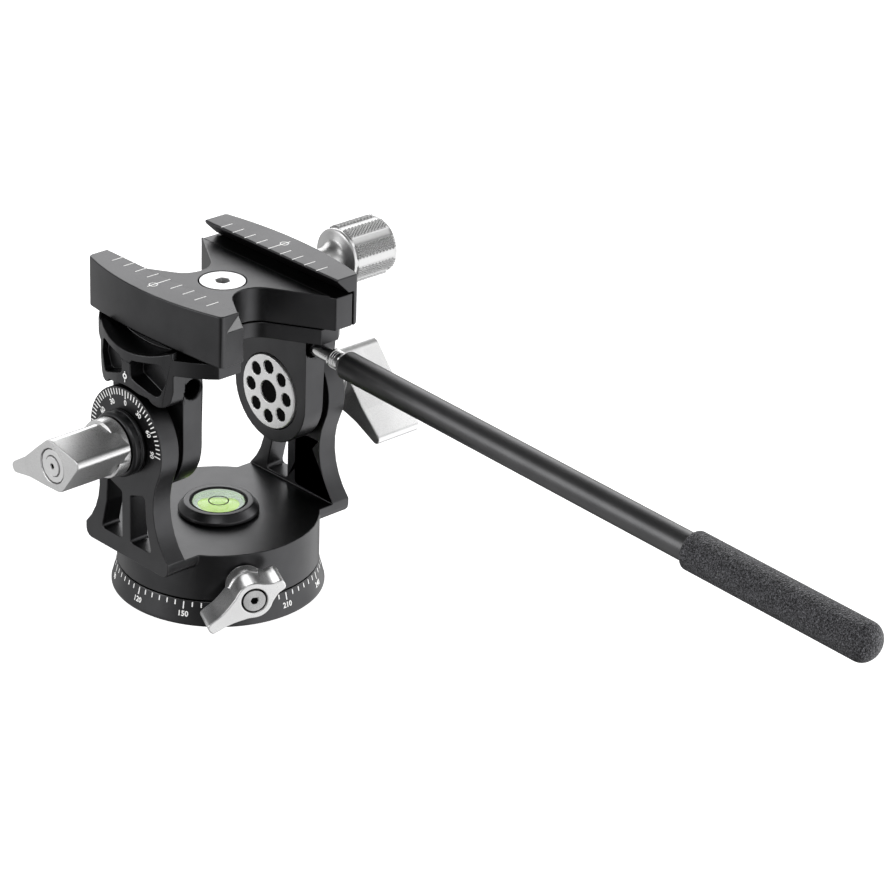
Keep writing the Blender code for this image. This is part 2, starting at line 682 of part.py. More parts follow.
def make_pan_lock():
    pivot = (0, 0, PAN_LOCK_HEIGHT)
    outline = wing_outline(PAN_LOCK_LONG_WING, PAN_LOCK_SHORT_WING, PAN_LOCK_TURN,
                           PAN_LOCK_SHORT_TURN, PAN_LOCK_HUB_RADIUS, PAN_LOCK_WING_TIP)
    lever = add_part("pan_lock_lever", prism_mesh("pan_lock_lever", outline, PAN_LOCK_BACK,
                                                  PAN_LOCK_FACE, PAN_LOCK_FRAME), SILVER)
    join(lever, cylinder_mesh("boss", PAN_LOCK_BOSS_RADIUS, PAN_LOCK_BOSS_START, PAN_LOCK_BOSS_END,
                              PAN_LOCK_FRAME), "boss")
    cut(lever, cylinder_mesh("stud_hole", PAN_STUD_RADIUS + FIT, PAN_LOCK_BOSS_START - OVERRUN,
                             PAN_STUD_END + FIT, PAN_LOCK_FRAME), "stud_hole")
    cut(lever, cylinder_mesh("head_recess", PAN_SCREW_RADIUS + FIT,
                             PAN_LOCK_FACE - PAN_SCREW_HEAD - FIT, PAN_LOCK_FACE + OVERRUN,
                             PAN_LOCK_FRAME), "head_recess")
    smooth_rounds(lever)

    shoe_start = SPINDLE_RADIUS + FIT
    shoe_end = shoe_start + BRAKE_SHOE_LENGTH
    shoe = add_part("pan_brake_shoe", cylinder_mesh("pan_brake_shoe", BRAKE_SHOE_RADIUS, shoe_start,
                                                    shoe_end, PAN_LOCK_FRAME), BRASS)
    stud = add_part("pan_lock_stud", cylinder_mesh("pan_lock_stud", PAN_STUD_RADIUS, shoe_end + FIT,
                                                   PAN_STUD_END, PAN_LOCK_FRAME), STEEL)
    screw = add_part("pan_lock_screw", cylinder_mesh("pan_lock_screw", PAN_SCREW_RADIUS,
                                                     PAN_LOCK_FACE - PAN_SCREW_HEAD, PAN_LOCK_FACE,
                                                     PAN_LOCK_FRAME), STEEL)
    cut(screw, prism_mesh("hex", hexagon(PAN_SCREW_SOCKET), PAN_LOCK_FACE - PAN_SCREW_HEAD * PAN_SCREW_SOCKET_SHARE,
                          PAN_LOCK_FACE + OVERRUN, PAN_LOCK_FRAME), "hex")
    for piece in (shoe, stud):
        smooth_rounds(piece)
    for piece in (lever, stud, screw):
        set_pivot(piece, pivot)


# Cradle

def scalloped(points_half_width, half_length):
    """Plan view of one end's scallop, from the +X flank to the -X flank."""
    centre_y = SCALLOP_APEX + SCALLOP_RADIUS
    start = -pi / 2 + SCALLOP_SLOPE
    touch = (SCALLOP_RADIUS * cos(start), centre_y + SCALLOP_RADIUS * sin(start))
    run = (half_length - touch[1]) / tan(SCALLOP_SLOPE)
    flank = (min(touch[0] + run, points_half_width), half_length)
    return [flank] + arc((0, centre_y), SCALLOP_RADIUS, start, -pi - start, 8) + [(-flank[0], half_length)]


def scallop_mesh(label, side, low, high):
    """The material that a scallop removes at the front (-1) or the back (1)."""
    far = CLAMP_HALF_LENGTH + OVERRUN
    points = scalloped(CLAMP_SIDE + OVERRUN, far)
    return prism_mesh(label, [(x + CLAMP_CENTRE[0], side * y) for x, y in points], low, high, ALONG_Z)


def flange_outline():
    """Side view of a flange, with its lobes and its arc over the upright's head."""
    arc_radius = HEAD_RADIUS + FLANGE_CLEARANCE
    lobe_z = FLANGE_LOBE_HEIGHT + FLANGE_LOBE_RADIUS
    lobe = (FLANGE_LOBE_CENTRE, lobe_z)
    half = [(FLANGE_HALF, PLATE_TOP), (FLANGE_HALF, lobe_z + FLANGE_LOBE_RADIUS / 2)]
    half += arc(lobe, FLANGE_LOBE_RADIUS, radians(-10), radians(-150), 9)
    inner_angle = acos(FLANGE_LOBE_CENTRE * FLANGE_LOBE_INNER_SHARE / arc_radius)
    half += arc((0, TILT_HEIGHT), arc_radius, inner_angle, pi / 2, 5)
    return mirrored(half[:-1])


def flange_pocket(side):
    """Side view of one of the two pockets in a flange's outer face."""
    floor_radius = HEAD_RADIUS + FLANGE_CLEARANCE + FLANGE_POCKET_WEB
    inner = WINDOW_RIB_HALF
    corners = [(inner, TILT_HEIGHT + sqrt(floor_radius ** 2 - inner ** 2)),
               (FLANGE_LOBE_CENTRE, FLANGE_LOBE_HEIGHT + FLANGE_POCKET_WEB * FLANGE_POCKET_FOOT_SHARE),
               (FLANGE_HALF - FLANGE_POCKET_WEB * FLANGE_POCKET_SIDE_SHARE,
                FLANGE_POCKET_TOP - FLANGE_POCKET_WEB),
               (FLANGE_HALF - FLANGE_POCKET_WEB, FLANGE_POCKET_TOP + FLANGE_POCKET_CORNER),
               (inner, FLANGE_POCKET_TOP)]
    return [(side * y, z) for y, z in rounded(corners, FLANGE_POCKET_CORNER)]


def arm_outline():
    half = [(ARM_RADIUS, PLATE_BOTTOM + FIT)]
    half += arc((0, TILT_HEIGHT), ARM_RADIUS, 0, -pi / 2, 9)
    return mirrored(half)


def make_cradle():
    cradle = add_part("cradle", cylinder_mesh("cradle", CRADLE_RADIUS, PLATE_BOTTOM, PLATE_TOP,
                                              ALONG_Z, ROUND_STEPS), BLACK)
    far = CRADLE_RADIUS + OVERRUN
    for label, low, high in (("left", -CRADLE_RADIUS + FIT, -ARM_OUTER + FIT),
                             ("right", ARM_OUTER - FIT, CRADLE_RADIUS - FIT)):
        join(cradle, prism_mesh(label, flange_outline(), low, high, ALONG_X), f"{label}_flange")
    for label, low, high in (("left", -ARM_OUTER, -ARM_INNER), ("right", ARM_INNER, ARM_OUTER)):
        join(cradle, prism_mesh(label, arm_outline(), low, high, ALONG_X), f"{label}_arm")
    for label, low, high in (("left", -CRADLE_RADIUS + FIT, -FLANGE_RIM_INNER),
                             ("right", FLANGE_RIM_INNER, CRADLE_RADIUS - FIT)):
        join(cradle, box_mesh(label, (low, -FLANGE_HALF + FIT, PLATE_BOTTOM + FIT),
                              (high, FLANGE_HALF - FIT, FLANGE_RIM_TOP)), f"{label}_rim")
    combine(cradle, cylinder_mesh("stock", CRADLE_RADIUS - FIT / 3, TILT_HEIGHT - ARM_RADIUS - OVERRUN,
                                  FLANGE_RIM_TOP - FIT / 3, ALONG_Z, ROUND_STEPS), "INTERSECT", "stock")
    for label, side in (("front_end", -1), ("back_end", 1)):
        near, end = sorted((side * CRADLE_HALF_LENGTH, side * far))
        cut(cradle, box_mesh(label, (-far, near, PLATE_BOTTOM - OVERRUN),
                             (far, end, FLANGE_RIM_TOP + OVERRUN)), label)
    for label, side in (("front_scallop", -1), ("back_scallop", 1)):
        cut(cradle, scallop_mesh(label, side, PLATE_BOTTOM - FIT, FLANGE_RIM_TOP + OVERRUN), label)
    dish_radius = (FLANGE_DISH_HALF ** 2 + FLANGE_DISH_DEPTH ** 2) / (2 * FLANGE_DISH_DEPTH)
    dish_frame = Matrix.Translation((0, 0, FLANGE_RIM_TOP - FLANGE_DISH_DEPTH + dish_radius)) @ ALONG_X
    for label, side in (("left_dish", -1), ("right_dish", 1)):
        near, end = sorted((side * FLANGE_DISH_INNER, side * far))
        cut(cradle, cylinder_mesh(label, dish_radius, near, end, dish_frame, ROUND_STEPS * 3), label)
    for name, side in (("front", -1), ("back", 1)):
        for label, low, high in (("left", -far, FLANGE_POCKET_DEPTH - CRADLE_RADIUS),
                                 ("right", CRADLE_RADIUS - FLANGE_POCKET_DEPTH, far)):
            cut(cradle, prism_mesh(name, flange_pocket(side), low, high, ALONG_X),
                f"{label}_{name}_pocket")
    path_start = CLAMP_UNDERCUT_START + FIT * 2 + JAW_TRAVEL
    path_low = PLATE_TOP + FIT / 3
    path_high = FLANGE_RIM_TOP + OVERRUN
    path_rise = (far - path_start) * tan(CLAMP_UNDERCUT_SLOPE)
    path = [(ARM_OUTER, path_low), (path_start, path_low), (far, path_low + path_rise),
            (far, path_high), (ARM_OUTER, path_high)]
    cut(cradle, prism_mesh("jaw_path", path, -far, far, ALONG_MINUS_Y), "jaw_path")
    disc_pocket = AXLE_DISC_FACE + AXLE_DISC_THICKNESS + FIT
    cut(cradle, cylinder_mesh("disc_pockets", AXLE_DISC_RADIUS + FIT, -disc_pocket, disc_pocket,
                              TILT_FRAME, ROUND_STEPS), "disc_pockets")
    cut(cradle, cylinder_mesh("axle_bores", AXLE_RADIUS + FIT, -ARM_OUTER - OVERRUN,
                              ARM_OUTER + OVERRUN, TILT_FRAME), "axle_bores")
    for label, side in (("left_socket", -1), ("right_socket", 1)):
        mouth = Matrix.Translation((side * SOCKET_X - SOCKET_X, 0, 0)) @ HANDLE_FRAME
        cut(cradle, cylinder_mesh(label, SOCKET_RADIUS, -SOCKET_DEPTH, OVERRUN, mouth), label)
        cut(cradle, cylinder_mesh(label, SOCKET_RADIUS, -SOCKET_RIM, FIT, mouth,
                                  end_radius=SOCKET_RADIUS + SOCKET_RIM), f"{label}_rim")
    cut(cradle, cylinder_mesh("screw_hole", CENTRE_SCREW_SHANK + FIT, PLATE_BOTTOM - OVERRUN,
                              PLATE_TOP + OVERRUN, CENTRE_SCREW_FRAME), "screw_hole")
    for label, side in (("left_dowel", -1), ("right_dowel", 1)):
        place = Matrix.Translation((side * DOWEL_X, 0, 0))
        cut(cradle, cylinder_mesh(label, DOWEL_RADIUS + FIT, PLATE_TOP - DOWEL_LENGTH / 2,
                                  PLATE_TOP + OVERRUN, place), label)
    smooth_rounds(cradle)
    set_pivot(cradle, TILT_PIVOT)


# Tilt axles, washers, collars and levers

def sided(frame, side):
    """The frame for the right (1) or the left (-1) end of the tilt axis."""
    return frame if side == 1 else HALF_TURN @ frame


def make_axle(label, side):
    frame = sided(TILT_FRAME, side)
    disc_back = AXLE_DISC_FACE + AXLE_DISC_THICKNESS
    bore_end = AXLE_DISC_FACE + AXLE_BORE_DEPTH
    axle = turned_object(f"tilt_axle_{label}", [
        (0, AXLE_END),
        (AXLE_RADIUS, AXLE_END),
        (AXLE_RADIUS, disc_back),
        (AXLE_DISC_RADIUS, disc_back),
        (AXLE_DISC_RADIUS, AXLE_DISC_FACE),
        (AXLE_BORE_RADIUS, AXLE_DISC_FACE),
        (AXLE_BORE_RADIUS, bore_end),
        (0, bore_end),
    ], SILVER, frame)
    for i in range(AXLE_HOLE_COUNT):
        turn = 2 * pi * i / AXLE_HOLE_COUNT
        offset = Matrix.Translation((AXLE_HOLE_CIRCLE * cos(turn), AXLE_HOLE_CIRCLE * sin(turn), 0))
        cut(axle, cylinder_mesh(f"hole_{i}", AXLE_HOLE_RADIUS, AXLE_DISC_FACE - OVERRUN,
                                AXLE_DISC_FACE + AXLE_HOLE_DEPTH, frame @ offset, HOLE_STEPS),
            f"hole_{i}")
    smooth_rounds(axle)
    set_pivot(axle, TILT_PIVOT)


def make_washer(label, side):
    turned_object(f"tilt_washer_{label}", [
        (AXLE_RADIUS + FIT, UPRIGHT_INNER - FIT),
        (TILT_WASHER_RADIUS, UPRIGHT_INNER - FIT),
        (TILT_WASHER_RADIUS, ARM_OUTER + FIT),
        (AXLE_RADIUS + FIT, ARM_OUTER + FIT),
    ], POLYMER, sided(TILT_FRAME, side))


def make_collar(label, side):
    inner = UPRIGHT_OUTER + FIT
    outer = inner + COLLAR_THICKNESS
    turned_object(f"tilt_collar_{label}", [
        (AXLE_RADIUS + FIT, outer),
        (COLLAR_RADIUS - EDGE_BREAK * 2, outer),
        (COLLAR_RADIUS, outer - EDGE_BREAK * 2),
        (COLLAR_RADIUS, inner),
        (AXLE_RADIUS + FIT, inner),
    ], BLACK, sided(TILT_FRAME, side))


def lever_outline(wing, turn, side):
    """Section of a tilt lever: a diamond hub and a wing with hollow flanks."""
    half = [(-LEVER_BACK, 0), (-LEVER_SHOULDER_SETBACK, LEVER_SHOULDER)]
    half += [(wing * along, LEVER_SHOULDER * across) for along, across in LEVER_WAIST_SHARES]
    half.append((wing, LEVER_TIP))
    points = half + [(u, -v) for u, v in reversed(half[1:])]
    shoulders = (1, len(points) - 1)
    radius_points = rounded(points, LEVER_BACK_CORNER, CORNER_STEPS, shoulders, LEVER_SHOULDER_ROUND)
    angle = turn if side == 1 else pi - turn
    return [(u * cos(angle) - v * sin(angle), u * sin(angle) + v * cos(angle))
            for u, v in radius_points]


def make_lever(label, side, wing, turn, outer):
    frame = sided(TILT_FRAME, side)
    neck_start = UPRIGHT_OUTER + COLLAR_THICKNESS + FIT * 2
    lever = add_part(f"tilt_lever_{label}", prism_mesh("lever", lever_outline(wing, turn, side),
                                                       LEVER_INNER, outer, frame), SILVER)
    join(lever, cylinder_mesh("neck", LEVER_NECK_RADIUS, neck_start, LEVER_INNER + LEVER_RECESS_DEPTH,
                              frame, MEDIUM_STEPS), "neck")
    cut(lever, cylinder_mesh("axle_hole", AXLE_RADIUS + FIT, neck_start - OVERRUN, AXLE_END + FIT,
                             frame), "axle_hole")
    cut(lever, cylinder_mesh("recess", LEVER_RECESS_RADIUS, outer - LEVER_RECESS_DEPTH,
                             outer + OVERRUN, frame), "recess")
    cut(lever, cylinder_mesh("shank_hole", LEVER_SCREW_SHANK + FIT, AXLE_END - OVERRUN,
                             outer + OVERRUN, frame), "shank_hole")
    smooth_rounds(lever)
    set_pivot(lever, TILT_PIVOT)

    washer_bottom = outer - LEVER_RECESS_DEPTH + FIT
    turned_object(f"lever_washer_{label}", [
        (LEVER_SCREW_RADIUS + FIT, outer - FIT),
        (LEVER_RECESS_RADIUS - FIT, outer - FIT),
        (LEVER_RECESS_RADIUS - FIT, washer_bottom),
        (LEVER_SCREW_RADIUS + FIT, washer_bottom),
    ], STEEL, frame, SMALL_STEPS)

    shank_end = AXLE_END + FIT * 2
    screw = turned_object(f"lever_screw_{label}", [
        (0, outer),
        (LEVER_SCREW_RADIUS, outer),
        (LEVER_SCREW_RADIUS, washer_bottom),
        (LEVER_SCREW_SHANK, washer_bottom),
        (LEVER_SCREW_SHANK, shank_end),
        (0, shank_end),
    ], STEEL, frame, SMALL_STEPS)
    cut(screw, prism_mesh("hex", hexagon(LEVER_SCREW_SOCKET), washer_bottom, outer + OVERRUN,
                          frame), "hex")


# Plate clamp

def clamp_side(side):
    """Plan view of one outer side: a shallow arc between rounded end corners."""
    radius, corner = CLAMP_SIDE_RADIUS, CLAMP_END_CORNER
    if side == 1:
        radius, corner = JAW_SIDE_RADIUS, JAW_END_CORNER
    centre = (CLAMP_SIDE - radius, 0)
    inside = radius - corner
    front_sweep = asin((CLAMP_HALF_LENGTH - corner) / inside)
    back_sweep = asin((CLAMP_BACK_LENGTH - corner) / inside)
    front = (centre[0] + inside * cos(front_sweep), -inside * sin(front_sweep))
    back = (centre[0] + inside * cos(back_sweep), inside * sin(back_sweep))
    points = arc(front, corner, -pi / 2, -front_sweep, CORNER_STEPS)
    points += arc(centre, radius, -front_sweep, back_sweep, 10)[1:]
    points += arc(back, corner, back_sweep, pi / 2, CORNER_STEPS)[1:]
    return [(side * x, y) for x, y in points]


def clamp_plan(side, inner_x):
    """Plan view from an outer side to an inner x value."""
    return clamp_side(side) + [(inner_x, CLAMP_BACK_LENGTH), (inner_x, -CLAMP_HALF_LENGTH)]


UNDERCUT_RISE = (CLAMP_SIDE + OVERRUN - CLAMP_UNDERCUT_START) * tan(CLAMP_UNDERCUT_SLOPE)


def make_clamp_body():
    far = CLAMP_SIDE + OVERRUN
    section = [(-far, CLAMP_TOP), (-far, CLAMP_BOTTOM + UNDERCUT_RISE),
               (-CLAMP_UNDERCUT_START, CLAMP_BOTTOM),
               (JAW_SEAM, CLAMP_BOTTOM),
               (JAW_SEAM, CLAMP_FLOOR - CLAMP_STEP_DEPTH),
               (CLAMP_STEP_START, CLAMP_FLOOR - CLAMP_STEP_DEPTH),
               (CLAMP_STEP_START, CLAMP_FLOOR),
               (-CLAMP_ROOT, CLAMP_FLOOR),
               (-CLAMP_LIP, CLAMP_TOP - CLAMP_LIP_THICKNESS),
               (-CLAMP_LIP, CLAMP_TOP)]
    length = CLAMP_HALF_LENGTH + OVERRUN
    body = add_part("clamp_body", prism_mesh("clamp_body", section, -length, length, ALONG_MINUS_Y),
                    BLACK)
    plan = clamp_plan(-1, JAW_SEAM + OVERRUN)
    combine(body, prism_mesh("plan", plan, CLAMP_BOTTOM - OVERRUN, CLAMP_TOP + OVERRUN, ALONG_Z),
            "INTERSECT", "plan")
    for label, side in (("front_scallop", -1), ("back_scallop", 1)):
        cut(body, scallop_mesh(label, side, CLAMP_BOTTOM - OVERRUN, CLAMP_TOP + OVERRUN), label)
    head_depth = CENTRE_SCREW_RADIUS - CENTRE_SCREW_SHANK
    head_wide = CLAMP_FLOOR - CENTRE_SCREW_RIM
    cut(body, cylinder_mesh("head_rim", CENTRE_SCREW_RADIUS + FIT, head_wide - FIT,
                            CLAMP_FLOOR + OVERRUN, CENTRE_SCREW_FRAME, MEDIUM_STEPS), "head_rim")
    cut(body, cylinder_mesh("head_cone", CENTRE_SCREW_SHANK + FIT, head_wide - head_depth - FIT,
                            head_wide, CENTRE_SCREW_FRAME, MEDIUM_STEPS,
                            end_radius=CENTRE_SCREW_RADIUS + FIT), "head_cone")
    cut(body, cylinder_mesh("screw_hole", CENTRE_SCREW_SHANK + FIT, CLAMP_BOTTOM - OVERRUN,
                            CLAMP_FLOOR, CENTRE_SCREW_FRAME, MEDIUM_STEPS), "screw_hole")
    cut(body, cylinder_mesh("clamp_screw_hole", CLAMP_SCREW_RADIUS + FIT, CLAMP_SCREW_START - FIT,
                            JAW_SEAM + OVERRUN, KNOB_FRAME), "clamp_screw_hole")
    for label, side in (("front_pin", -1), ("back_pin", 1)):
        place = Matrix.Translation((0, side * GUIDE_PIN_Y, 0)) @ KNOB_FRAME
        cut(body, cylinder_mesh(label, GUIDE_PIN_RADIUS + FIT, GUIDE_PIN_START - FIT,
                                JAW_SEAM + OVERRUN, place), label)
    for label, side in (("left_dowel", -1), ("right_dowel", 1)):
        place = Matrix.Translation((side * DOWEL_X, 0, 0))
        cut(body, cylinder_mesh(label, DOWEL_RADIUS + FIT, CLAMP_BOTTOM - OVERRUN,
                                CLAMP_BOTTOM + DOWEL_LENGTH / 2 + FIT, place), label)
    smooth_rounds(body)
    set_pivot(body, TILT_PIVOT)


def make_clamp_jaw():
    far = CLAMP_SIDE + OVERRUN
    inner = JAW_SEAM + FIT
    section = [(CLAMP_LIP, CLAMP_TOP), (CLAMP_LIP, CLAMP_TOP - CLAMP_LIP_THICKNESS),
               (CLAMP_ROOT, CLAMP_FLOOR), (inner, CLAMP_FLOOR), (inner, CLAMP_BOTTOM),
               (CLAMP_UNDERCUT_START + FIT * 2, CLAMP_BOTTOM),
               (far, CLAMP_BOTTOM + UNDERCUT_RISE), (far, CLAMP_TOP)]
    length = CLAMP_HALF_LENGTH + OVERRUN
    jaw = add_part("clamp_jaw", prism_mesh("clamp_jaw", section, -length, length, ALONG_MINUS_Y), BLACK)
    plan = clamp_plan(1, CLAMP_LIP - OVERRUN)
    combine(jaw, prism_mesh("plan", plan, CLAMP_BOTTOM - OVERRUN, CLAMP_TOP + OVERRUN, ALONG_Z),
            "INTERSECT", "plan")
    for label, side in (("front_scallop", -1), ("back_scallop", 1)):
        cut(jaw, scallop_mesh(label, side, CLAMP_BOTTOM - OVERRUN, CLAMP_TOP + OVERRUN), label)
    cut(jaw, cylinder_mesh("screw_hole", CLAMP_SCREW_RADIUS + FIT, CLAMP_LIP, far, KNOB_FRAME),
        "screw_hole")
    for label, side in (("front_pin", -1), ("back_pin", 1)):
        place = Matrix.Translation((0, side * GUIDE_PIN_Y, 0)) @ KNOB_FRAME
        cut(jaw, cylinder_mesh(label, GUIDE_PIN_RADIUS + FIT, CLAMP_LIP, GUIDE_PIN_END + FIT, place),
            label)
    smooth_rounds(jaw)
    set_pivot(jaw, (0, 0, KNOB_HEIGHT))


def make_clamp_fasteners():
    head_depth = CENTRE_SCREW_RADIUS - CENTRE_SCREW_SHANK
    head_wide = CLAMP_FLOOR - CENTRE_SCREW_RIM
    screw = turned_object("clamp_centre_screw", [
        (0, CLAMP_FLOOR),
        (CENTRE_SCREW_RADIUS, CLAMP_FLOOR),
        (CENTRE_SCREW_RADIUS, head_wide),
        (CENTRE_SCREW_SHANK, head_wide - head_depth),
        (CENTRE_SCREW_SHANK, CENTRE_SCREW_END),
        (0, CENTRE_SCREW_END),
    ], STEEL, CENTRE_SCREW_FRAME, MEDIUM_STEPS)
    cut(screw, prism_mesh("hex", hexagon(CENTRE_SCREW_SOCKET), CLAMP_FLOOR - CENTRE_SCREW_SOCKET_DEPTH,
                          CLAMP_FLOOR + OVERRUN, CENTRE_SCREW_FRAME), "hex")

    dowel_low = PLATE_TOP - DOWEL_LENGTH / 2 + FIT
    dowel_high = CLAMP_BOTTOM + DOWEL_LENGTH / 2
    for label, side in (("left", -1), ("right", 1)):
        place = Matrix.Translation((side * DOWEL_X, 0, 0))
        add_part(f"clamp_dowel_{label}", cylinder_mesh("dowel", DOWEL_RADIUS, dowel_low, dowel_high,
                                                       place, HOLE_STEPS), STEEL)
    for label, side in (("front", -1), ("back", 1)):
        place = Matrix.Translation((0, side * GUIDE_PIN_Y, 0)) @ KNOB_FRAME
        add_part(f"jaw_guide_pin_{label}", cylinder_mesh("pin", GUIDE_PIN_RADIUS, GUIDE_PIN_START,
                                                         GUIDE_PIN_END, place, HOLE_STEPS), STEEL)


def make_knob():
    rod = add_part("clamp_screw", cylinder_mesh("clamp_screw", CLAMP_SCREW_RADIUS, CLAMP_SCREW_START,
                                                CLAMP_SCREW_END, KNOB_FRAME), STEEL)
    smooth_rounds(rod)
    cone_depth = KNOB_CONE_END - KNOB_NECK_END
    cone_rise = KNOB_RIM_RADIUS - KNOB_CHAMFER - KNOB_NECK_RADIUS
    turns = [pi / 2 * (1 + k / CONE_STEPS) for k in range(CONE_STEPS + 1)]
    cone = [(KNOB_NECK_RADIUS + cone_rise + cone_rise * cos(turn),
             KNOB_NECK_END + cone_depth * sin(turn)) for turn in turns]
    knob = turned_object("clamp_knob", [
        (0, KNOB_END),
        (KNOB_RADIUS - KNOB_CHAMFER, KNOB_END),
        (KNOB_RADIUS, KNOB_END - KNOB_CHAMFER),
        (KNOB_RADIUS, KNOB_BARREL_START),
        (KNOB_RIM_RADIUS, KNOB_BARREL_START - EDGE_BREAK),
        (KNOB_RIM_RADIUS, KNOB_CONE_END + KNOB_CHAMFER),
        *cone,
        (KNOB_NECK_RADIUS, KNOB_START),
        (CLAMP_SCREW_RADIUS + FIT, KNOB_START),
        (CLAMP_SCREW_RADIUS + FIT, CLAMP_SCREW_END + FIT),
        (0, CLAMP_SCREW_END + FIT),
    ], SILVER, KNOB_FRAME)
    smooth_rounds(knob)
    for piece in (rod, knob):
        set_pivot(piece, (0, 0, KNOB_HEIGHT))


# Handle

def make_handle():
    collar_end = STUB_COLLAR_START + STUB_COLLAR_LENGTH
    turned_object("handle_stub", [
        (0, STUB_END),
        (TUBE_BORE_RADIUS - FIT, STUB_END),
        (TUBE_BORE_RADIUS - FIT, collar_end + EDGE_BREAK),
        (STUB_COLLAR_RADIUS - EDGE_BREAK, collar_end),
        (STUB_COLLAR_RADIUS, collar_end - EDGE_BREAK),
        (STUB_COLLAR_RADIUS, STUB_COLLAR_START + EDGE_BREAK),
        (STUB_COLLAR_RADIUS - EDGE_BREAK, STUB_COLLAR_START),
        (STUB_RADIUS, STUB_COLLAR_START),
        (STUB_RADIUS, STUB_THREAD_START),
        (0, STUB_THREAD_START),
    ], STEEL, HANDLE_FRAME, SMALL_STEPS)
    turned_object("handle_tube", [
        (TUBE_BORE_RADIUS, TUBE_END),
        (TUBE_RADIUS, TUBE_END),
        (TUBE_RADIUS, TUBE_START + EDGE_BREAK * 2),
        (TUBE_RADIUS - EDGE_BREAK * 2, TUBE_START),
        (TUBE_BORE_RADIUS, TUBE_START),
    ], GLOSS, HANDLE_FRAME, SMALL_STEPS)
    dome = arc((0, GRIP_END - GRIP_RADIUS), GRIP_RADIUS, pi / 2, 0, 8)
    bore = TUBE_RADIUS + FIT
    turned_object("handle_grip", [(0, dome[0][1])] + dome[1:] + [
        (GRIP_RADIUS, GRIP_START + GRIP_LIP),
        (GRIP_RADIUS - GRIP_LIP, GRIP_START),
        (bore, GRIP_START),
        (bore, TUBE_END + FIT),
        (0, TUBE_END + FIT),
    ], RUBBER, HANDLE_FRAME, SMALL_STEPS)


make_base()
make_yoke()
make_level()
make_pan_lock()
make_cradle()
LEVERS = (("left", -1, LEVER_WING_LEFT, LEVER_TURN_LEFT, LEVER_OUTER_LEFT),
          ("right", 1, LEVER_WING_RIGHT, LEVER_TURN_RIGHT, LEVER_OUTER_RIGHT))
for hand, direction, wing_length, lever_turn, lever_end in LEVERS:
    make_axle(hand, direction)
    make_washer(hand, direction)
    make_collar(hand, direction)
    make_lever(hand, direction, wing_length, lever_turn, lever_end)
make_clamp_body()
make_clamp_jaw()
make_clamp_fasteners()
make_knob()
make_handle()
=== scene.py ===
"""Two-way video head: the finished pieces, their surfaces, the markings, the lights and the camera."""

import json
from math import acos, atan2, cos, hypot, pi, radians, sin, sqrt

import bpy
import bmesh
from mathutils import Matrix, Vector

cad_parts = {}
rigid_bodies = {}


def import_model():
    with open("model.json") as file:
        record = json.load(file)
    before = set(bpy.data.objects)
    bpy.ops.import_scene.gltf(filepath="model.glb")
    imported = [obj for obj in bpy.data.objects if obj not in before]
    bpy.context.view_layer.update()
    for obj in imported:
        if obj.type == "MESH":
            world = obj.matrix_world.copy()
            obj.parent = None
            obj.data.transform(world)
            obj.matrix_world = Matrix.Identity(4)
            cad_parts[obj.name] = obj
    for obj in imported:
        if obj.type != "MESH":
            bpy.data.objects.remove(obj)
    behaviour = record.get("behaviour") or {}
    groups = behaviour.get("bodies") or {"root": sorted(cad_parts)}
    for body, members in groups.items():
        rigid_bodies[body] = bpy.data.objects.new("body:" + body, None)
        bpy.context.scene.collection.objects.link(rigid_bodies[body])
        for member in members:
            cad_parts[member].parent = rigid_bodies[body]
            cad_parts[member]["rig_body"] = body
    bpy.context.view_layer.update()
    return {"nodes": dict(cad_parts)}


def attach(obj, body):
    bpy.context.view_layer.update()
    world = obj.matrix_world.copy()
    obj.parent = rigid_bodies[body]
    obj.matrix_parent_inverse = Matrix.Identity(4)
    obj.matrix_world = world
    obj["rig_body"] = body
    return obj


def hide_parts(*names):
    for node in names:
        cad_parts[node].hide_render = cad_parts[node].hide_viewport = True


bl_info = {
    "name": "Two-way video head",
    "version": (1, 0, 0),
    "blender": (4, 5, 0),
    "location": "3D View > Sidebar > Video Head",
    "description": "Builds the finished pieces of a two-way video head, one step for each piece",
    "category": "Object",
}

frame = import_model()

# Places on the object, in metres
MM = 0.001
TILT_HEIGHT = 0.0525
KNOB_HEIGHT = 0.0869
CLAMP_TOP = 0.0958
MARK_PROUD = 0.00003
CLAMP_LIP = 0.01725
UPRIGHT_OUTER = 0.0329
FLANGE_FACE = 0.0330
BASE_TOP = (0.02845, 0.00705)
BASE_FOOT = (0.0300, 0.0009)
LEVEL_TOP = 0.02445
PLATFORM = 0.0213
HANDLE_MOUTH = Vector((0.02175, -0.0150, 0.0699))
HANDLE_RAKE = radians(2.3)
TUBE_START = 0.0129
TUBE_END = 0.1960
TUBE_RADIUS = 0.0040
GRIP_START = 0.1432
GRIP_END = 0.2045
GRIP_RADIUS = 0.0054
BASE_SCALE_TURN = radians(60.8)
FULL_TURN = 2 * pi
MERGE = 0.004 * MM
FLAT = radians(0.7)
SHARP = radians(38.0)

ALONG_Z = Matrix.Identity(4)
ALONG_X = Matrix(((0, 0, 1), (1, 0, 0), (0, 1, 0))).to_4x4()
ALONG_MINUS_Y = Matrix(((1, 0, 0), (0, 0, -1), (0, 1, 0))).to_4x4()
HALF_TURN = Matrix.Rotation(pi, 4, "Z")
TILT_FRAME = Matrix.Translation((0, 0, TILT_HEIGHT)) @ ALONG_X
LEFT_TILT_FRAME = HALF_TURN @ TILT_FRAME
KNOB_FRAME = Matrix.Translation((0, 0, KNOB_HEIGHT)) @ ALONG_X
HANDLE_FRAME = Matrix.Translation(HANDLE_MOUTH) @ Matrix.Rotation(HANDLE_RAKE, 4, "X") @ ALONG_MINUS_Y


# Mesh helpers

def shown_object(name, mesh, material=None):
    thing = bpy.data.objects.new(name, mesh)
    bpy.context.scene.collection.objects.link(thing)
    if material:
        mesh.materials.clear()
        mesh.materials.append(material)
    return thing


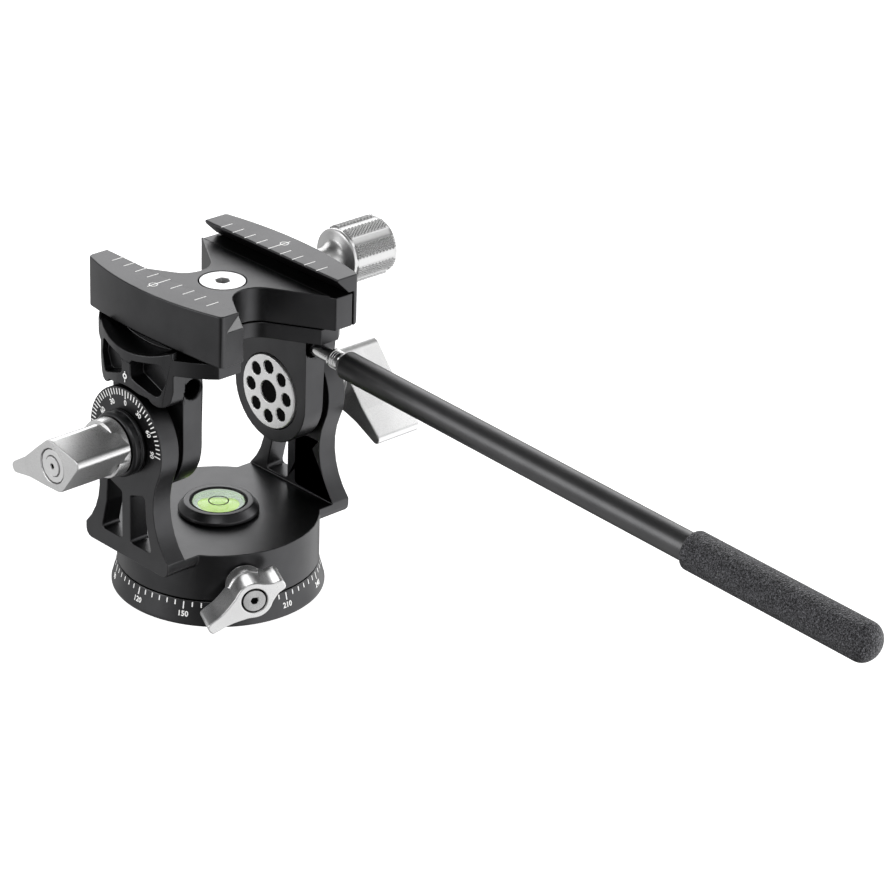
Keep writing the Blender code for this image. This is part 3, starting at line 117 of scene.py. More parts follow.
def finished(thing, body, nodes=()):
    """The piece rides on its body and stands for its plain solids, which it hides."""
    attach(thing, body)
    if nodes:
        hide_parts(*nodes)
    return thing


def body_of(node):
    return frame["nodes"][node]["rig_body"]


def bake_modifiers(thing):
    """Keep what the modifiers make as the piece's own mesh."""
    evaluated = thing.evaluated_get(bpy.context.evaluated_depsgraph_get())
    mesh = bpy.data.meshes.new_from_object(evaluated, preserve_all_data_layers=True,
                                           depsgraph=bpy.context.evaluated_depsgraph_get())
    mesh.name = thing.name
    thing.modifiers.clear()
    thing.data = mesh
    return thing


def edge_work(thing, width, segments=2):
    """Break the sharp edges with a small round, and let the wide faces set the shading."""
    thing.data.shade_smooth()
    if width:
        bevel = thing.modifiers.new("edges", "BEVEL")
        bevel.width = width
        bevel.segments = segments
        bevel.limit_method = "ANGLE"
        bevel.angle_limit = SHARP
        bevel.use_clamp_overlap = False
        bevel.miter_outer = "MITER_ARC"
    weights = thing.modifiers.new("shading", "WEIGHTED_NORMAL")
    weights.mode = "FACE_AREA"
    weights.keep_sharp = False
    return bake_modifiers(thing)


def plain_copy(node):
    """A merged copy of a node's solid, with its flat faces whole again."""
    shape = bmesh.new()
    shape.from_mesh(frame["nodes"][node].data)
    bmesh.ops.remove_doubles(shape, verts=shape.verts, dist=MERGE)
    bmesh.ops.dissolve_limit(shape, angle_limit=FLAT, verts=shape.verts, edges=shape.edges,
                             use_dissolve_boundaries=False)
    bmesh.ops.dissolve_degenerate(shape, edges=shape.edges, dist=MERGE * 2)
    bmesh.ops.recalc_face_normals(shape, faces=shape.faces)
    mesh = bpy.data.meshes.new(f"{node}_copy")
    shape.to_mesh(mesh)
    shape.free()
    return mesh


def turned_mesh(name, profile, place, steps=96):
    """A profile of (radius, height) points turned round the third axis of its place."""
    closed = not (profile[0][0] == 0 and profile[-1][0] == 0)
    shape = bmesh.new()
    rings = []
    for radius, height in profile:
        if radius == 0:
            rings.append([shape.verts.new((0, 0, height))] * steps)
        else:
            rings.append([shape.verts.new((radius * cos(FULL_TURN * k / steps),
                                           radius * sin(FULL_TURN * k / steps), height))
                          for k in range(steps)])
    pairs = list(zip(rings, rings[1:]))
    if closed:
        pairs.append((rings[-1], rings[0]))
    for one, two in pairs:
        for k in range(steps):
            after = (k + 1) % steps
            corners = [one[k], one[after], two[after], two[k]]
            face = list(dict.fromkeys(corners))
            if len(face) > 2:
                shape.faces.new(face)
    bmesh.ops.transform(shape, matrix=place, verts=shape.verts)
    bmesh.ops.recalc_face_normals(shape, faces=shape.faces)
    mesh = bpy.data.meshes.new(name)
    shape.to_mesh(mesh)
    shape.free()
    return mesh


def prism_mesh(name, outline, low, high, place):
    """A flat outline given depth along the third axis of its place."""
    shape = bmesh.new()
    face = shape.faces.new([shape.verts.new((u, v, low)) for u, v in outline])
    raised = bmesh.ops.extrude_face_region(shape, geom=[face])
    moved = [e for e in raised["geom"] if isinstance(e, bmesh.types.BMVert)]
    bmesh.ops.translate(shape, vec=(0, 0, high - low), verts=moved)
    bmesh.ops.transform(shape, matrix=place, verts=shape.verts)
    bmesh.ops.recalc_face_normals(shape, faces=shape.faces)
    mesh = bpy.data.meshes.new(name)
    shape.to_mesh(mesh)
    shape.free()
    return mesh


def cut(thing, mesh):
    """Take a mesh out of a piece."""
    cutter = shown_object(f"{thing.name}_cutter", mesh)
    step = thing.modifiers.new("cut", "BOOLEAN")
    step.operation = "DIFFERENCE"
    step.solver = "EXACT"
    step.object = cutter
    bake_modifiers(thing)
    bpy.data.objects.remove(cutter, do_unlink=True)


def hexagon(radius):
    return [(radius * cos(pi * i / 3), radius * sin(pi * i / 3)) for i in range(6)]


def joined_mesh(name, meshes):
    """Several meshes as one."""
    shape = bmesh.new()
    for mesh in meshes:
        shape.from_mesh(mesh)
    bmesh.ops.recalc_face_normals(shape, faces=shape.faces)
    whole = bpy.data.meshes.new(name)
    shape.to_mesh(whole)
    shape.free()
    for mesh in meshes:
        bpy.data.meshes.remove(mesh)
    return whole


def text_mesh(words, size, depth):
    """Plain numbers as a mesh, centred, in the first two axes."""
    curve = bpy.data.curves.new("numbers", "FONT")
    curve.body = words
    curve.size = size
    curve.align_x = "CENTER"
    curve.align_y = "CENTER"
    curve.extrude = depth / 2
    curve.resolution_u = 3
    curve.offset = size * 0.022
    carrier = bpy.data.objects.new("numbers", curve)
    bpy.context.scene.collection.objects.link(carrier)
    depsgraph = bpy.context.evaluated_depsgraph_get()
    mesh = bpy.data.meshes.new_from_object(carrier.evaluated_get(depsgraph))
    bpy.data.objects.remove(carrier, do_unlink=True)
    bpy.data.curves.remove(curve)
    return mesh


def ring_mesh(inner, outer, depth, place, steps=40):
    return turned_mesh("ring", [(inner, depth / 2), (outer, depth / 2), (outer, -depth / 2),
                                (inner, -depth / 2)], place, steps)


def strip_mesh(start, end, width, depth, place):
    """A straight painted line between two points of a plane."""
    along = (Vector(end) - Vector(start)).normalized()
    across = Vector((-along.y, along.x)) * width / 2
    corners = [Vector(start) - across, Vector(end) - across, Vector(end) + across, Vector(start) + across]
    return prism_mesh("strip", [tuple(c) for c in corners], -depth / 2, depth / 2, place)


# Shader groups

def new_group(name, inputs, outputs):
    tree = bpy.data.node_groups.new(name, "ShaderNodeTree")
    for label, value in inputs:
        socket = tree.interface.new_socket(label, in_out="INPUT", socket_type="NodeSocketFloat")
        socket.default_value = value
    for label in outputs:
        tree.interface.new_socket(label, in_out="OUTPUT", socket_type="NodeSocketFloat")
    return tree, tree.nodes.new("NodeGroupInput"), tree.nodes.new("NodeGroupOutput")


def noise_node(tree, vector, scale, detail, rough=0.5):
    noise = tree.nodes.new("ShaderNodeTexNoise")
    noise.inputs["Detail"].default_value = detail
    noise.inputs["Roughness"].default_value = rough
    tree.links.new(vector, noise.inputs["Vector"])
    if hasattr(scale, "links"):
        tree.links.new(scale, noise.inputs["Scale"])
    else:
        noise.inputs["Scale"].default_value = scale
    return noise.outputs["Fac"]


def range_node(tree, value, low, high, new_low, new_high):
    mapped = tree.nodes.new("ShaderNodeMapRange")
    mapped.inputs["From Min"].default_value = low
    mapped.inputs["From Max"].default_value = high
    mapped.inputs["To Min"].default_value = new_low
    mapped.inputs["To Max"].default_value = new_high
    tree.links.new(value, mapped.inputs["Value"])
    return mapped.outputs["Result"]


def make_grain_group():
    """Blasted grain: a fine mask for bumps, and a slow one for tone."""
    tree, source, sink = new_group("fine_grain", [("Grain Scale", 9000.0), ("Tone Scale", 120.0)],
                                   ["Grain", "Tone"])
    place = tree.nodes.new("ShaderNodeTexCoord").outputs["Object"]
    grain = noise_node(tree, place, source.outputs["Grain Scale"], 3.0, 0.6)
    tone = noise_node(tree, place, source.outputs["Tone Scale"], 2.0)
    tree.links.new(range_node(tree, grain, 0.3, 0.7, 0.0, 1.0), sink.inputs["Grain"])
    tree.links.new(range_node(tree, tone, 0.35, 0.65, 0.0, 1.0), sink.inputs["Tone"])
    return tree


def make_speckle_group():
    """Rubber speckle: small pale grains in a dark ground, with a pebbled height."""
    tree, source, sink = new_group("rubber_speckle", [("Speckle Scale", 2300.0)], ["Speckle", "Height"])
    place = tree.nodes.new("ShaderNodeTexCoord").outputs["Object"]
    cells = tree.nodes.new("ShaderNodeTexVoronoi")
    tree.links.new(place, cells.inputs["Vector"])
    tree.links.new(source.outputs["Speckle Scale"], cells.inputs["Scale"])
    rough = noise_node(tree, place, source.outputs["Speckle Scale"], 4.0, 0.7)
    tree.links.new(range_node(tree, rough, 0.42, 0.66, 0.0, 1.0), sink.inputs["Speckle"])
    tree.links.new(range_node(tree, cells.outputs["Distance"], 0.0, 0.8, 1.0, 0.0), sink.inputs["Height"])
    return tree


def make_lathe_group():
    """Turning marks: fine rings round an axis through a point of the object's own space."""
    tree, source, sink = new_group("turning_marks", [("Ring Scale", 5200.0), ("Axis X", 0.0),
                                                     ("Axis Y", 0.0), ("Axis Z", 0.0)], ["Rings"])
    place = tree.nodes.new("ShaderNodeTexCoord").outputs["Object"]
    point = tree.nodes.new("ShaderNodeCombineXYZ")
    for label in ("X", "Y", "Z"):
        tree.links.new(source.outputs[f"Axis {label}"], point.inputs[label])
    away = tree.nodes.new("ShaderNodeVectorMath")
    away.operation = "DISTANCE"
    tree.links.new(place, away.inputs[0])
    tree.links.new(point.outputs["Vector"], away.inputs[1])
    radius = tree.nodes.new("ShaderNodeCombineXYZ")
    tree.links.new(away.outputs["Value"], radius.inputs["X"])
    rings = noise_node(tree, radius.outputs["Vector"], source.outputs["Ring Scale"], 2.0)
    tree.links.new(range_node(tree, rings, 0.3, 0.7, 0.0, 1.0), sink.inputs["Rings"])
    return tree


# Materials

def start_material(name):
    material = bpy.data.materials.new(name)
    material.use_nodes = True
    return material, material.node_tree, material.node_tree.nodes["Principled BSDF"]


def use_group(tree, group, **values):
    node = tree.nodes.new("ShaderNodeGroup")
    node.node_tree = group
    for label, value in values.items():
        node.inputs[label.replace("_", " ")].default_value = value
    return node


def colour_mix(tree, share, one, two):
    mix = tree.nodes.new("ShaderNodeMix")
    mix.data_type = "RGBA"
    mix.inputs["A"].default_value = (*one, 1.0)
    mix.inputs["B"].default_value = (*two, 1.0)
    tree.links.new(share, mix.inputs["Factor"])
    return mix.outputs["Result"]


def add_bump(tree, shader, height, strength, distance):
    bump = tree.nodes.new("ShaderNodeBump")
    bump.inputs["Strength"].default_value = strength
    bump.inputs["Distance"].default_value = distance
    tree.links.new(height, bump.inputs["Height"])
    tree.links.new(bump.outputs["Normal"], shader.inputs["Normal"])


def metal_material(name, groups, dark, light, metallic, rough_low, rough_high, grain=9000.0, bump=0.12,
                   coat=0.0):
    """Metal or anodised metal, with a fine grain in its roughness and surface."""
    material, tree, shader = start_material(name)
    grains = use_group(tree, groups["grain"], Grain_Scale=grain)
    tree.links.new(colour_mix(tree, grains.outputs["Tone"], dark, light), shader.inputs["Base Color"])
    tree.links.new(range_node(tree, grains.outputs["Grain"], 0.0, 1.0, rough_low, rough_high),
                   shader.inputs["Roughness"])
    shader.inputs["Metallic"].default_value = metallic
    if coat:
        shader.inputs["Coat Weight"].default_value = coat
        shader.inputs["Coat Roughness"].default_value = 0.1
    add_bump(tree, shader, grains.outputs["Grain"], bump, 0.02 * MM)
    return material


def turned_material(name, groups, colour, metallic, rough_low, rough_high, axis, bump=0.2):
    """Metal that carries the rings of the lathe."""
    material, tree, shader = start_material(name)
    rings = use_group(tree, groups["lathe"], Axis_X=axis[0], Axis_Y=axis[1], Axis_Z=axis[2])
    darker = tuple(c * 0.9 for c in colour)
    tree.links.new(colour_mix(tree, rings.outputs["Rings"], darker, colour), shader.inputs["Base Color"])
    tree.links.new(range_node(tree, rings.outputs["Rings"], 0.0, 1.0, rough_low, rough_high),
                   shader.inputs["Roughness"])
    shader.inputs["Metallic"].default_value = metallic
    add_bump(tree, shader, rings.outputs["Rings"], bump, 0.01 * MM)
    return material


def rubber_material(groups, look):
    material, tree, shader = start_material("grip_rubber_speckled")
    speckle = use_group(tree, groups["speckle"])
    dark = tuple(look.grip_colour)
    pale = tuple(min(1.0, c * 14.0) for c in dark)
    tree.links.new(colour_mix(tree, speckle.outputs["Speckle"], dark, pale), shader.inputs["Base Color"])
    tree.links.new(range_node(tree, speckle.outputs["Speckle"], 0.0, 1.0, 0.5, 0.34),
                   shader.inputs["Roughness"])
    shader.inputs["Metallic"].default_value = 0.5
    add_bump(tree, shader, speckle.outputs["Height"], 1.0, 0.2 * MM)
    return material


def clear_material():
    material, tree, shader = start_material("vial_acrylic")
    grains = use_group(tree, bpy.data.node_groups["fine_grain"], Tone_Scale=400.0)
    shader.inputs["Base Color"].default_value = (0.93, 0.97, 0.95, 1.0)
    shader.inputs["Transmission Weight"].default_value = 1.0
    shader.inputs["IOR"].default_value = 1.06
    tree.links.new(range_node(tree, grains.outputs["Tone"], 0.0, 1.0, 0.01, 0.05),
                   shader.inputs["Roughness"])
    return material


def fluid_material(look):
    material, tree, shader = start_material("level_fluid_tinted")
    grains = use_group(tree, bpy.data.node_groups["fine_grain"], Tone_Scale=160.0)
    colour = tuple(look.fluid_colour)
    deeper = tuple(c * 0.8 for c in colour)
    tint = colour_mix(tree, grains.outputs["Tone"], deeper, colour)
    tree.links.new(tint, shader.inputs["Base Color"])
    # The fluid also glows with its tint: painted light, standing in for the lamp light that the glass above keeps
    # from it.
    tree.links.new(tint, shader.inputs["Emission Color"])
    shader.inputs["Emission Strength"].default_value = 0.46
    shader.inputs["Roughness"].default_value = 0.2
    return material


def paint_material(name, colour, groups, glow=0.0, gleam=0.5):
    material, tree, shader = start_material(name)
    grains = use_group(tree, groups["grain"], Grain_Scale=14000.0)
    worn = tuple(c * 0.86 for c in colour)
    tree.links.new(colour_mix(tree, grains.outputs["Grain"], worn, colour), shader.inputs["Base Color"])
    tree.links.new(range_node(tree, grains.outputs["Grain"], 0.0, 1.0, 0.5, 0.7), shader.inputs["Roughness"])
    # A glow above nought is painted light: the surface then gives off light of its own colour, like a lamp.
    shader.inputs["Emission Color"].default_value = (*colour, 1.0)
    shader.inputs["Emission Strength"].default_value = glow
    shader.inputs["Specular IOR Level"].default_value = gleam
    return material


def make_materials(look):
    groups = {"grain": make_grain_group(), "speckle": make_speckle_group(), "lathe": make_lathe_group()}
    black = tuple(look.black_colour)
    lighter = tuple(c * 1.15 for c in black)
    silver = tuple(look.silver_colour)
    silver_dark = tuple(c * 0.93 for c in silver)
    return {
        "black": metal_material("black_anodised_satin", groups, black, lighter, 1.0, 0.30, 0.40),
        "silver": metal_material("silver_anodised_satin", groups, silver_dark, silver, 0.9, 0.24, 0.36,
                                 7000.0, 0.1),
        "silver_face": turned_material("silver_turned_face", groups, silver, 0.85, 0.28, 0.42,
                                       (-0.0578, 0, TILT_HEIGHT)),
        "knob": turned_material("silver_turned_knob", groups, (0.64, 0.64, 0.64), 0.95, 0.34, 0.42,
                                (0.0380, 0, KNOB_HEIGHT)),
        "screw": turned_material("screw_head_steel", groups, (0.86, 0.86, 0.86), 0.8, 0.3, 0.42,
                                 (0.0006, -0.0005, 0.0909)),
        "steel": metal_material("bright_steel", groups, (0.74, 0.74, 0.74), (0.82, 0.82, 0.82), 1.0, 0.16,
                                0.22, 8000.0, 0.06),
        "bolt": metal_material("bolt_steel", groups, (0.34, 0.34, 0.34), (0.46, 0.46, 0.46), 1.0, 0.22, 0.3),
        "disc": metal_material("axle_disc_anodised", groups, (0.92, 0.92, 0.92), (0.97, 0.97, 0.97), 0.85,
                               0.34, 0.44),
        "brass": metal_material("turned_brass", groups, (0.66, 0.47, 0.19), (0.72, 0.52, 0.22), 1.0, 0.28,
                                0.38),
        "polymer": metal_material("bearing_polymer_matt", groups, (0.07, 0.07, 0.07), (0.10, 0.10, 0.10),
                                  0.0, 0.5, 0.65),
        "tube": metal_material("tube_gloss_black", groups, (0.100, 0.100, 0.102), (0.112, 0.112, 0.114),
                               1.0, 0.36, 0.42, 6000.0, 0.04),
        "rubber": rubber_material(groups, look),
        "vial": clear_material(),
        "fluid": fluid_material(look),
        # The white scale paint also glows a little: painted light that keeps the marks bright.
        "paint": paint_material("scale_paint_white", tuple(look.paint_colour), groups, 0.35),
        # Dark ink for the level's circle and edge ring; the same material is also painted shade, as flat dark discs
        # on the floors of sockets and holes.
        "ink_and_shade": paint_material("dark_ink_and_painted_shade", (0.004, 0.004, 0.004), groups, 0.0, 0.04),
        # The white vial seat glows: painted light, standing in for the lamp light that the glass above keeps from it.
        "pale": paint_material("vial_seat_white", (0.62, 0.68, 0.62), groups, 0.5),
    }


MATERIALS = {}


# Geometry Nodes: rows and rings of marks, and the knurl

def socket_ids(tree):
    return {item.name: item.identifier for item in tree.interface.items_tree
            if item.item_type == "SOCKET" and item.in_out == "INPUT"}


def new_geometry_tree(name, inputs):
    tree = bpy.data.node_groups.new(name, "GeometryNodeTree")
    for label, kind in inputs:
        tree.interface.new_socket(label, in_out="INPUT", socket_type=f"NodeSocket{kind}")
    tree.interface.new_socket("Geometry", in_out="OUTPUT", socket_type="NodeSocketGeometry")
    return tree, tree.nodes.new("NodeGroupInput"), tree.nodes.new("NodeGroupOutput")


def feed(tree, value, socket):
    if hasattr(value, "is_linked"):
        tree.links.new(value, socket)
    else:
        socket.default_value = value


def math_node(tree, operation, *values):
    node = tree.nodes.new("ShaderNodeMath")
    node.operation = operation
    for socket, value in zip(node.inputs, values):
        feed(tree, value, socket)
    return node.outputs[0]


def combine_node(tree, x, y, z):
    node = tree.nodes.new("ShaderNodeCombineXYZ")
    for socket, value in zip(node.inputs, (x, y, z)):
        feed(tree, value, socket)
    return node.outputs[0]


def instance_tail(tree, sink, points, instance, rotation, scale, material):
    """Put one shape on each point, make the copies real and give them their material."""
    turn = tree.nodes.new("FunctionNodeEulerToRotation")
    tree.links.new(rotation, turn.inputs[0])
    spread = tree.nodes.new("GeometryNodeInstanceOnPoints")
    tree.links.new(points, spread.inputs["Points"])
    tree.links.new(instance, spread.inputs["Instance"])
    tree.links.new(turn.outputs[0], spread.inputs["Rotation"])
    tree.links.new(scale, spread.inputs["Scale"])
    real = tree.nodes.new("GeometryNodeRealizeInstances")
    tree.links.new(spread.outputs[0], real.inputs[0])
    paint = tree.nodes.new("GeometryNodeSetMaterial")
    tree.links.new(real.outputs[0], paint.inputs["Geometry"])
    tree.links.new(material, paint.inputs["Material"])
    tree.links.new(paint.outputs[0], sink.inputs[0])


def make_marks_tree():
    """Scale marks along a ring or a row, longer at every so many."""
    tree, source, sink = new_geometry_tree("scale_marks", [
        ("Count", "Int"), ("First Turn", "Float"), ("Turn Step", "Float"), ("Row Step", "Vector"),
        ("Start", "Vector"), ("Tilt", "Float"), ("Mark Size", "Vector"), ("Long Every", "Int"),
        ("Long Share", "Float"), ("Seed", "Int"), ("Material", "Material")])
    out = source.outputs
    index = tree.nodes.new("GeometryNodeInputIndex").outputs[0]
    turn = math_node(tree, "MULTIPLY_ADD", index, out["Turn Step"], out["First Turn"])
    swing = tree.nodes.new("ShaderNodeVectorRotate")
    swing.rotation_type = "Z_AXIS"
    tree.links.new(out["Start"], swing.inputs["Vector"])
    tree.links.new(turn, swing.inputs["Angle"])
    shift = tree.nodes.new("ShaderNodeVectorMath")
    shift.operation = "SCALE"
    tree.links.new(out["Row Step"], shift.inputs[0])
    tree.links.new(index, shift.inputs["Scale"])
    place = tree.nodes.new("ShaderNodeVectorMath")
    place.operation = "ADD"
    tree.links.new(swing.outputs[0], place.inputs[0])
    tree.links.new(shift.outputs[0], place.inputs[1])
    points = tree.nodes.new("GeometryNodePoints")
    tree.links.new(out["Count"], points.inputs["Count"])
    tree.links.new(place.outputs[0], points.inputs["Position"])
    bar = tree.nodes.new("GeometryNodeMeshCube")
    tree.links.new(out["Mark Size"], bar.inputs["Size"])
    parts = tree.nodes.new("ShaderNodeSeparateXYZ")
    tree.links.new(out["Mark Size"], parts.inputs[0])
    anchored = tree.nodes.new("GeometryNodeTransform")
    tree.links.new(bar.outputs["Mesh"], anchored.inputs["Geometry"])
    tree.links.new(combine_node(tree, math_node(tree, "MULTIPLY", parts.outputs["X"], 0.5), 0.0, 0.0),
                   anchored.inputs["Translation"])
    rest = math_node(tree, "MODULO", index, out["Long Every"])
    is_long = math_node(tree, "LESS_THAN", rest, 0.5)
    extra = math_node(tree, "SUBTRACT", out["Long Share"], 1.0)
    stretch = math_node(tree, "MULTIPLY_ADD", is_long, extra, 1.0)
    instance_tail(tree, sink, points.outputs[0], anchored.outputs[0],
                  combine_node(tree, 0.0, out["Tilt"], turn), combine_node(tree, stretch, 1.0, 1.0),
                  out["Material"])
    return tree


def make_knurl_tree():
    """Rows of small diamonds round a barrel, left out where its flutes run."""
    tree, source, sink = new_geometry_tree("diamond_knurl", [
        ("Rows", "Int"), ("Around", "Int"), ("Radius", "Float"), ("First Row", "Float"),
        ("Row Step", "Float"), ("Flutes", "Int"), ("Flute Share", "Float"), ("Stud Size", "Vector"),
        ("Seed", "Int"), ("Material", "Material")])
    out = source.outputs
    index = tree.nodes.new("GeometryNodeInputIndex").outputs[0]
    column = math_node(tree, "MODULO", index, out["Around"])
    row = math_node(tree, "FLOOR", math_node(tree, "DIVIDE", index, out["Around"]))
    half = math_node(tree, "MULTIPLY", math_node(tree, "MODULO", row, 2.0), 0.5)
    share = math_node(tree, "DIVIDE", math_node(tree, "ADD", column, half), out["Around"])
    turn = math_node(tree, "MULTIPLY", share, FULL_TURN)
    place = combine_node(tree, math_node(tree, "MULTIPLY", out["Radius"], math_node(tree, "COSINE", turn)),
                         math_node(tree, "MULTIPLY", out["Radius"], math_node(tree, "SINE", turn)),
                         math_node(tree, "MULTIPLY_ADD", row, out["Row Step"], out["First Row"]))
    points = tree.nodes.new("GeometryNodePoints")
    tree.links.new(math_node(tree, "MULTIPLY", out["Rows"], out["Around"]), points.inputs["Count"])
    tree.links.new(place, points.inputs["Position"])
    phase = math_node(tree, "FRACT", math_node(tree, "MULTIPLY", share, out["Flutes"]))
    off_centre = math_node(tree, "ABSOLUTE", math_node(tree, "SUBTRACT", phase, 0.5))
    in_flute = math_node(tree, "GREATER_THAN", off_centre,
                         math_node(tree, "SUBTRACT", 0.5, out["Flute Share"]))
    kept = tree.nodes.new("GeometryNodeDeleteGeometry")
    kept.domain = "POINT"
    tree.links.new(points.outputs[0], kept.inputs["Geometry"])
    tree.links.new(in_flute, kept.inputs["Selection"])
    # The turn is kept with each point, because the numbering changes once some are left out
    stored = tree.nodes.new("GeometryNodeCaptureAttribute")
    stored.capture_items.new("FLOAT", "turn")
    tree.links.new(points.outputs[0], stored.inputs["Geometry"])
    tree.links.new(turn, stored.inputs[1])
    tree.links.new(stored.outputs["Geometry"], kept.inputs["Geometry"])
    stud = tree.nodes.new("GeometryNodeMeshCone")
    stud.inputs["Vertices"].default_value = 4
    stud.inputs["Radius Top"].default_value = 0.16
    stud.inputs["Radius Bottom"].default_value = 1.0
    stud.inputs["Depth"].default_value = 1.0
    instance_tail(tree, sink, kept.outputs[0], stud.outputs["Mesh"],
                  combine_node(tree, 0.0, pi / 2, stored.outputs[1]), out["Stud Size"], out["Material"])
    return tree


def grown_mesh(name, tree, **values):
    """The mesh that a tree makes with these inputs."""
    carrier = shown_object(name, bpy.data.meshes.new(name))
    step = carrier.modifiers.new("repeat", "NODES")
    step.node_group = tree
    ids = socket_ids(tree)
    for label, value in values.items():
        step[ids[label.replace("_", " ")]] = value
    carrier.update_tag()
    bake_modifiers(carrier)
    mesh = carrier.data
    bpy.data.objects.remove(carrier, do_unlink=True)
    return mesh


def marks_mesh(place=ALONG_Z, **values):
    tree = bpy.data.node_groups.get("scale_marks") or make_marks_tree()
    defaults = {"Count": 1, "First_Turn": 0.0, "Turn_Step": 0.0, "Row_Step": (0.0, 0.0, 0.0), "Tilt": 0.0,
                "Long_Every": 6, "Long_Share": 1.0, "Seed": 1, "Material": MATERIALS["paint"]}
    mesh = grown_mesh("marks", tree, **{**defaults, **values})
    mesh.transform(place)
    return mesh


# Base and its degree scale

def cone_point(turn, rise, height_off):
    """A point on the sloping rim of the base, by turn, distance below its top edge and lift."""
    run = Vector((BASE_FOOT[0] - BASE_TOP[0], BASE_FOOT[1] - BASE_TOP[1]))
    slope = run.normalized()
    outward = Vector((-slope.y, slope.x))
    spot = Vector(BASE_TOP) + slope * rise + outward * height_off
    return Vector((spot.x * cos(turn), spot.x * sin(turn), spot.y))


def on_cone(mesh, turn, rise):
    """Bend a flat number onto the sloping rim of the base."""
    for vertex in mesh.vertices:
        across, up, lift = vertex.co
        vertex.co = cone_point(turn + across / BASE_FOOT[0], rise - up, lift)
    return mesh


def make_base(look):
    edge = 0.35 * MM
    profile = [(0.0090, 0.0057), (0.0265, 0.0057), (0.0265, BASE_TOP[1]),
               (BASE_TOP[0] - edge / 2, BASE_TOP[1]), (BASE_TOP[0], BASE_TOP[1] - edge),
               (BASE_FOOT[0] - edge / 3, BASE_FOOT[1] + edge), (BASE_FOOT[0], BASE_FOOT[1]),
               (BASE_FOOT[0], edge), (BASE_FOOT[0] - edge, 0.0), (0.0090, 0.0)]
    disc = shown_object("base_ring", turned_mesh("base_ring", profile, ALONG_Z, 180), MATERIALS["black"])
    finished(edge_work(disc, 0.12 * MM), body_of("base_disc"), ["base_disc"])
    depth = look.mark_depth
    top = cone_point(0.0, 0.35 * MM, 0.0)
    slope = atan2(BASE_TOP[1] - BASE_FOOT[1], BASE_FOOT[0] - BASE_TOP[0])
    meshes = [marks_mesh(Count=72, First_Turn=BASE_SCALE_TURN, Turn_Step=radians(5.0),
                         Start=tuple(top), Tilt=slope,
                         Mark_Size=(1.35 * MM, look.mark_width, depth), Long_Every=6, Long_Share=1.6)]
    for degrees in range(0, 360, 30):
        number = text_mesh(str(degrees), 2.15 * MM, depth)
        meshes.append(on_cone(number, BASE_SCALE_TURN + radians(degrees), 3.95 * MM))
    scale = shown_object("base_scale", joined_mesh("base_scale", meshes), MATERIALS["paint"])
    finished(scale, body_of("base_disc"))


# Yoke with its dial

def make_yoke(look):
    yoke = shown_object("yoke_frame", plain_copy("yoke"), MATERIALS["black"])
    finished(edge_work(yoke, look.edge_width), body_of("yoke"), ["yoke"])
    face = LEFT_TILT_FRAME @ Matrix.Translation((0, 0, UPRIGHT_OUTER))
    depth = look.mark_depth
    meshes = [marks_mesh(face, Count=37, First_Turn=0.0, Turn_Step=radians(5.0),
                         Start=(14.9 * MM, 0.0, 0.0), Mark_Size=(-1.75 * MM, look.mark_width, depth),
                         Long_Every=6, Long_Share=1.42)]
    for degrees in (-90, -60, -30, 0, 30, 60, 90):
        number = text_mesh(str(abs(degrees)), 2.15 * MM, depth)
        number.transform(Matrix.Rotation(radians(degrees), 4, "Z").inverted()
                         @ Matrix.Translation((0, 11.25 * MM, 0)))
        number.transform(face)
        meshes.append(number)
    dial = shown_object("tilt_dial", joined_mesh("tilt_dial", meshes), MATERIALS["paint"])
    finished(dial, body_of("yoke"))


# Bubble level

